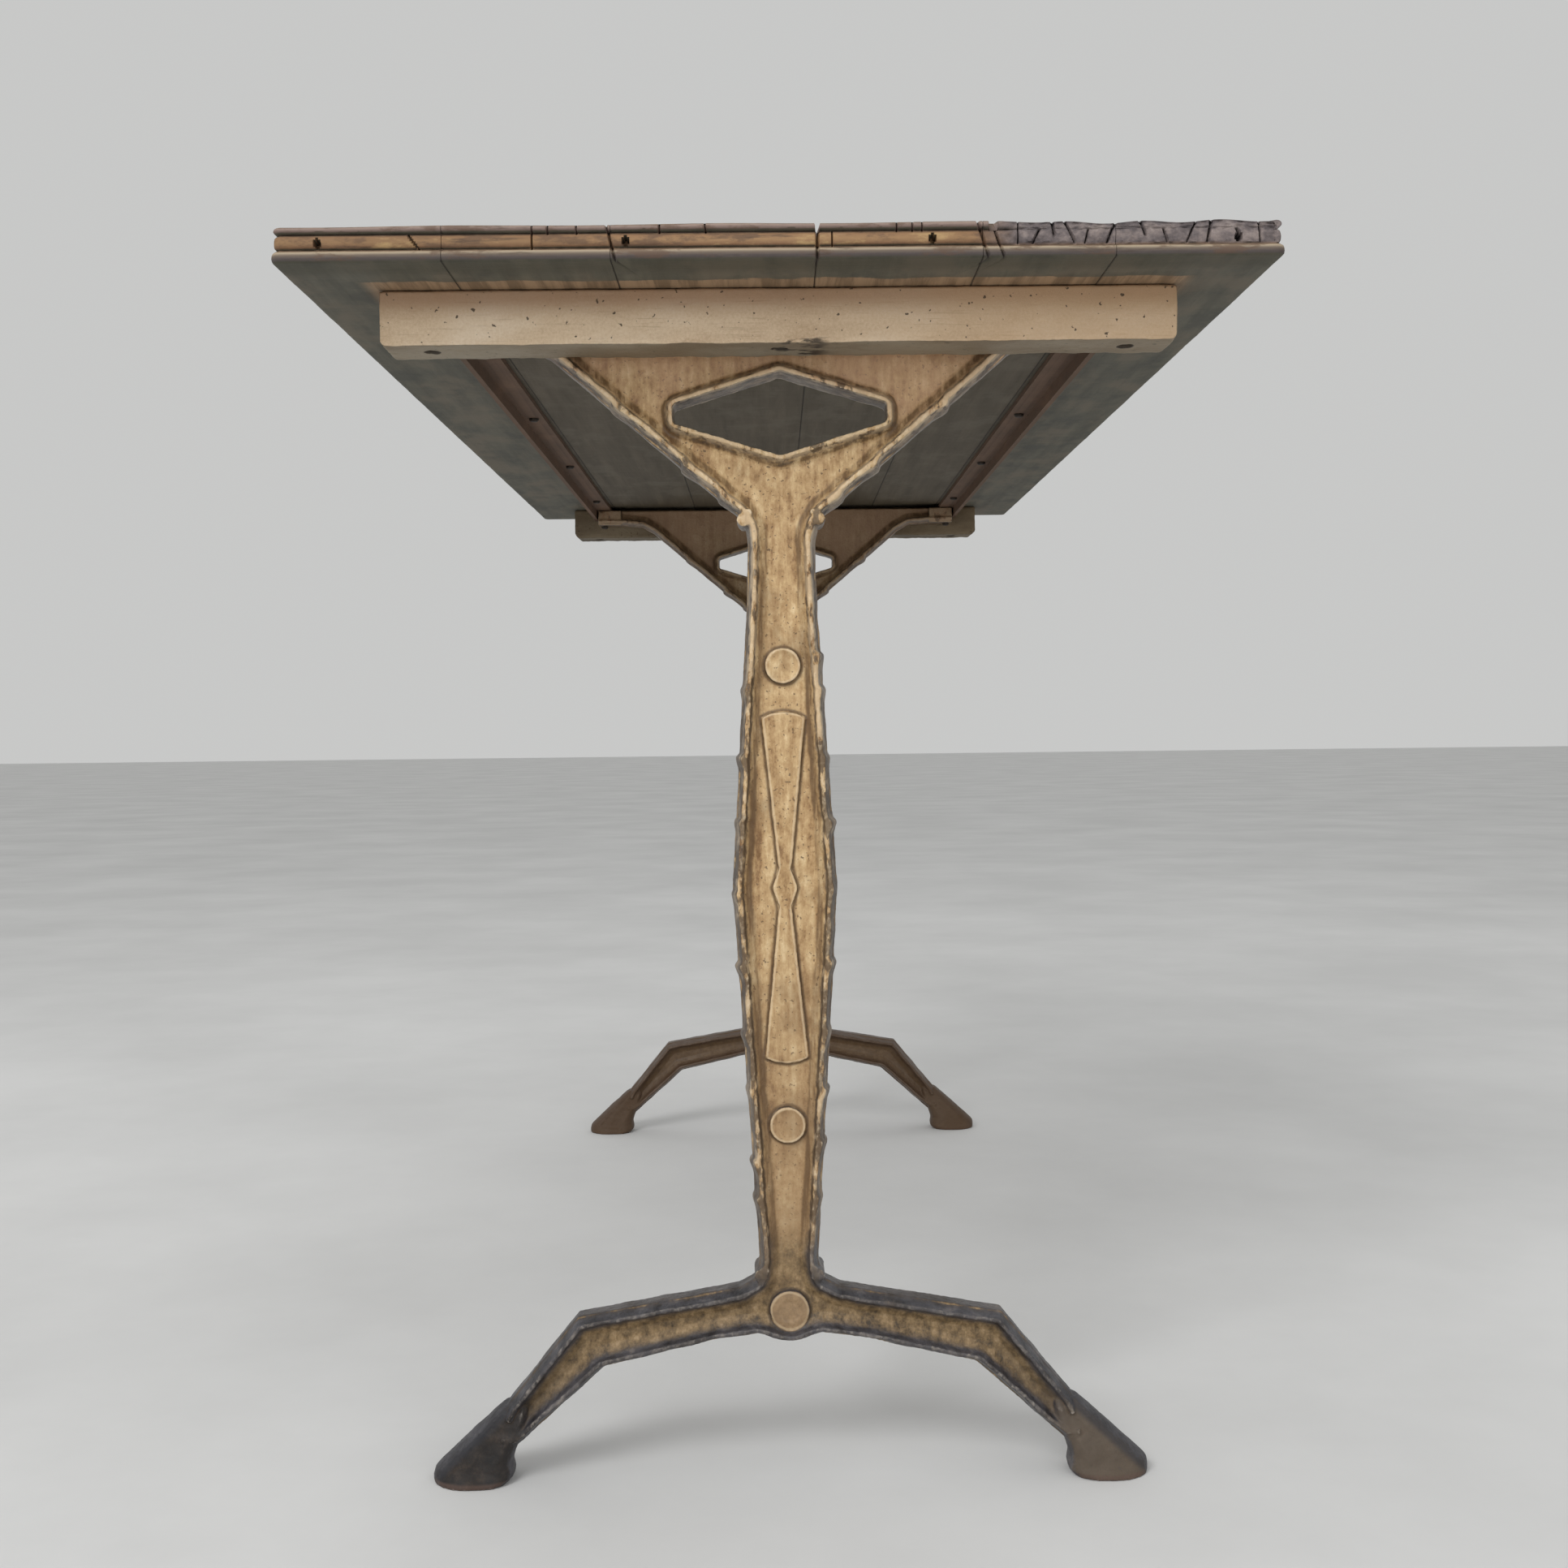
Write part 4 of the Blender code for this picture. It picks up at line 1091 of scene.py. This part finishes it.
def area_light(name, place, target, size, power):
    light = bpy.data.lights.new(name, "AREA")
    light.shape = "RECTANGLE"
    light.size, light.size_y = size
    light.energy = power
    item = bpy.data.objects.new(name, light)
    item.location = place
    item.rotation_euler = (Vector(target) - Vector(place)).to_track_quat("-Z", "Y").to_euler()
    link(item)


def make_light():
    world = bpy.data.worlds.new("studio")
    bpy.context.scene.world = world
    world.use_nodes = True
    background = world.node_tree.nodes["Background"]
    background.inputs["Color"].default_value = (0.868, 0.872, 0.862, 1.0)
    background.inputs["Strength"].default_value = 0.665
    area_light("key", (-1.6, -2.8, 2.6), (0.0, -0.2, 0.4), (1.5, 1.3), 66.0)
    area_light("overhead", (0.2, 0.4, 3.2), (0.0, 0.3, 0.0), (4.0, 4.0), 14.0)
    area_light("front_fill", (1.2, -3.2, 1.2), (0.0, -0.4, 0.4), (2.5, 1.8), 22.0)


def make_camera():
    """A low camera just off the table's axis, looking along it."""
    camera = bpy.data.cameras.new("camera")
    camera.sensor_width = 36.0
    camera.lens = 40.804
    camera.shift_x = -0.0031
    item = bpy.data.objects.new("camera", camera)
    item.location = (-0.00691, -1.46146, 0.43065)
    yaw, pitch, roll = 0.00959, -0.03003, -0.01123
    forward = Vector((math.sin(yaw) * math.cos(pitch), math.cos(yaw) * math.cos(pitch), math.sin(pitch)))
    right = Vector((math.cos(yaw), -math.sin(yaw), 0.0))
    up = right.cross(forward)
    turned_right = math.cos(roll) * right + math.sin(roll) * up
    turned_up = -math.sin(roll) * right + math.cos(roll) * up
    matrix = item.matrix_world.to_3x3()
    matrix.col[0], matrix.col[1], matrix.col[2] = turned_right, turned_up, -forward
    item.rotation_euler = matrix.to_euler()
    link(item)
    bpy.context.scene.camera = item
    bpy.context.scene.view_settings.view_transform = "Standard"


make_camera()
make_stage()
make_light()
make_boards(old_wood(False), old_wood(True))
make_battens(batten_paint())
make_legs(iron_paint())
rail_material = rust()
screw_material = screw_steel()
for node_name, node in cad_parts.items():
    if node_name.startswith("rail_") and "screw" not in node_name:
        for slot in node.material_slots:
            slot.material = rail_material
    if "screw" in node_name:
        for slot in node.material_slots:
            slot.material = screw_material
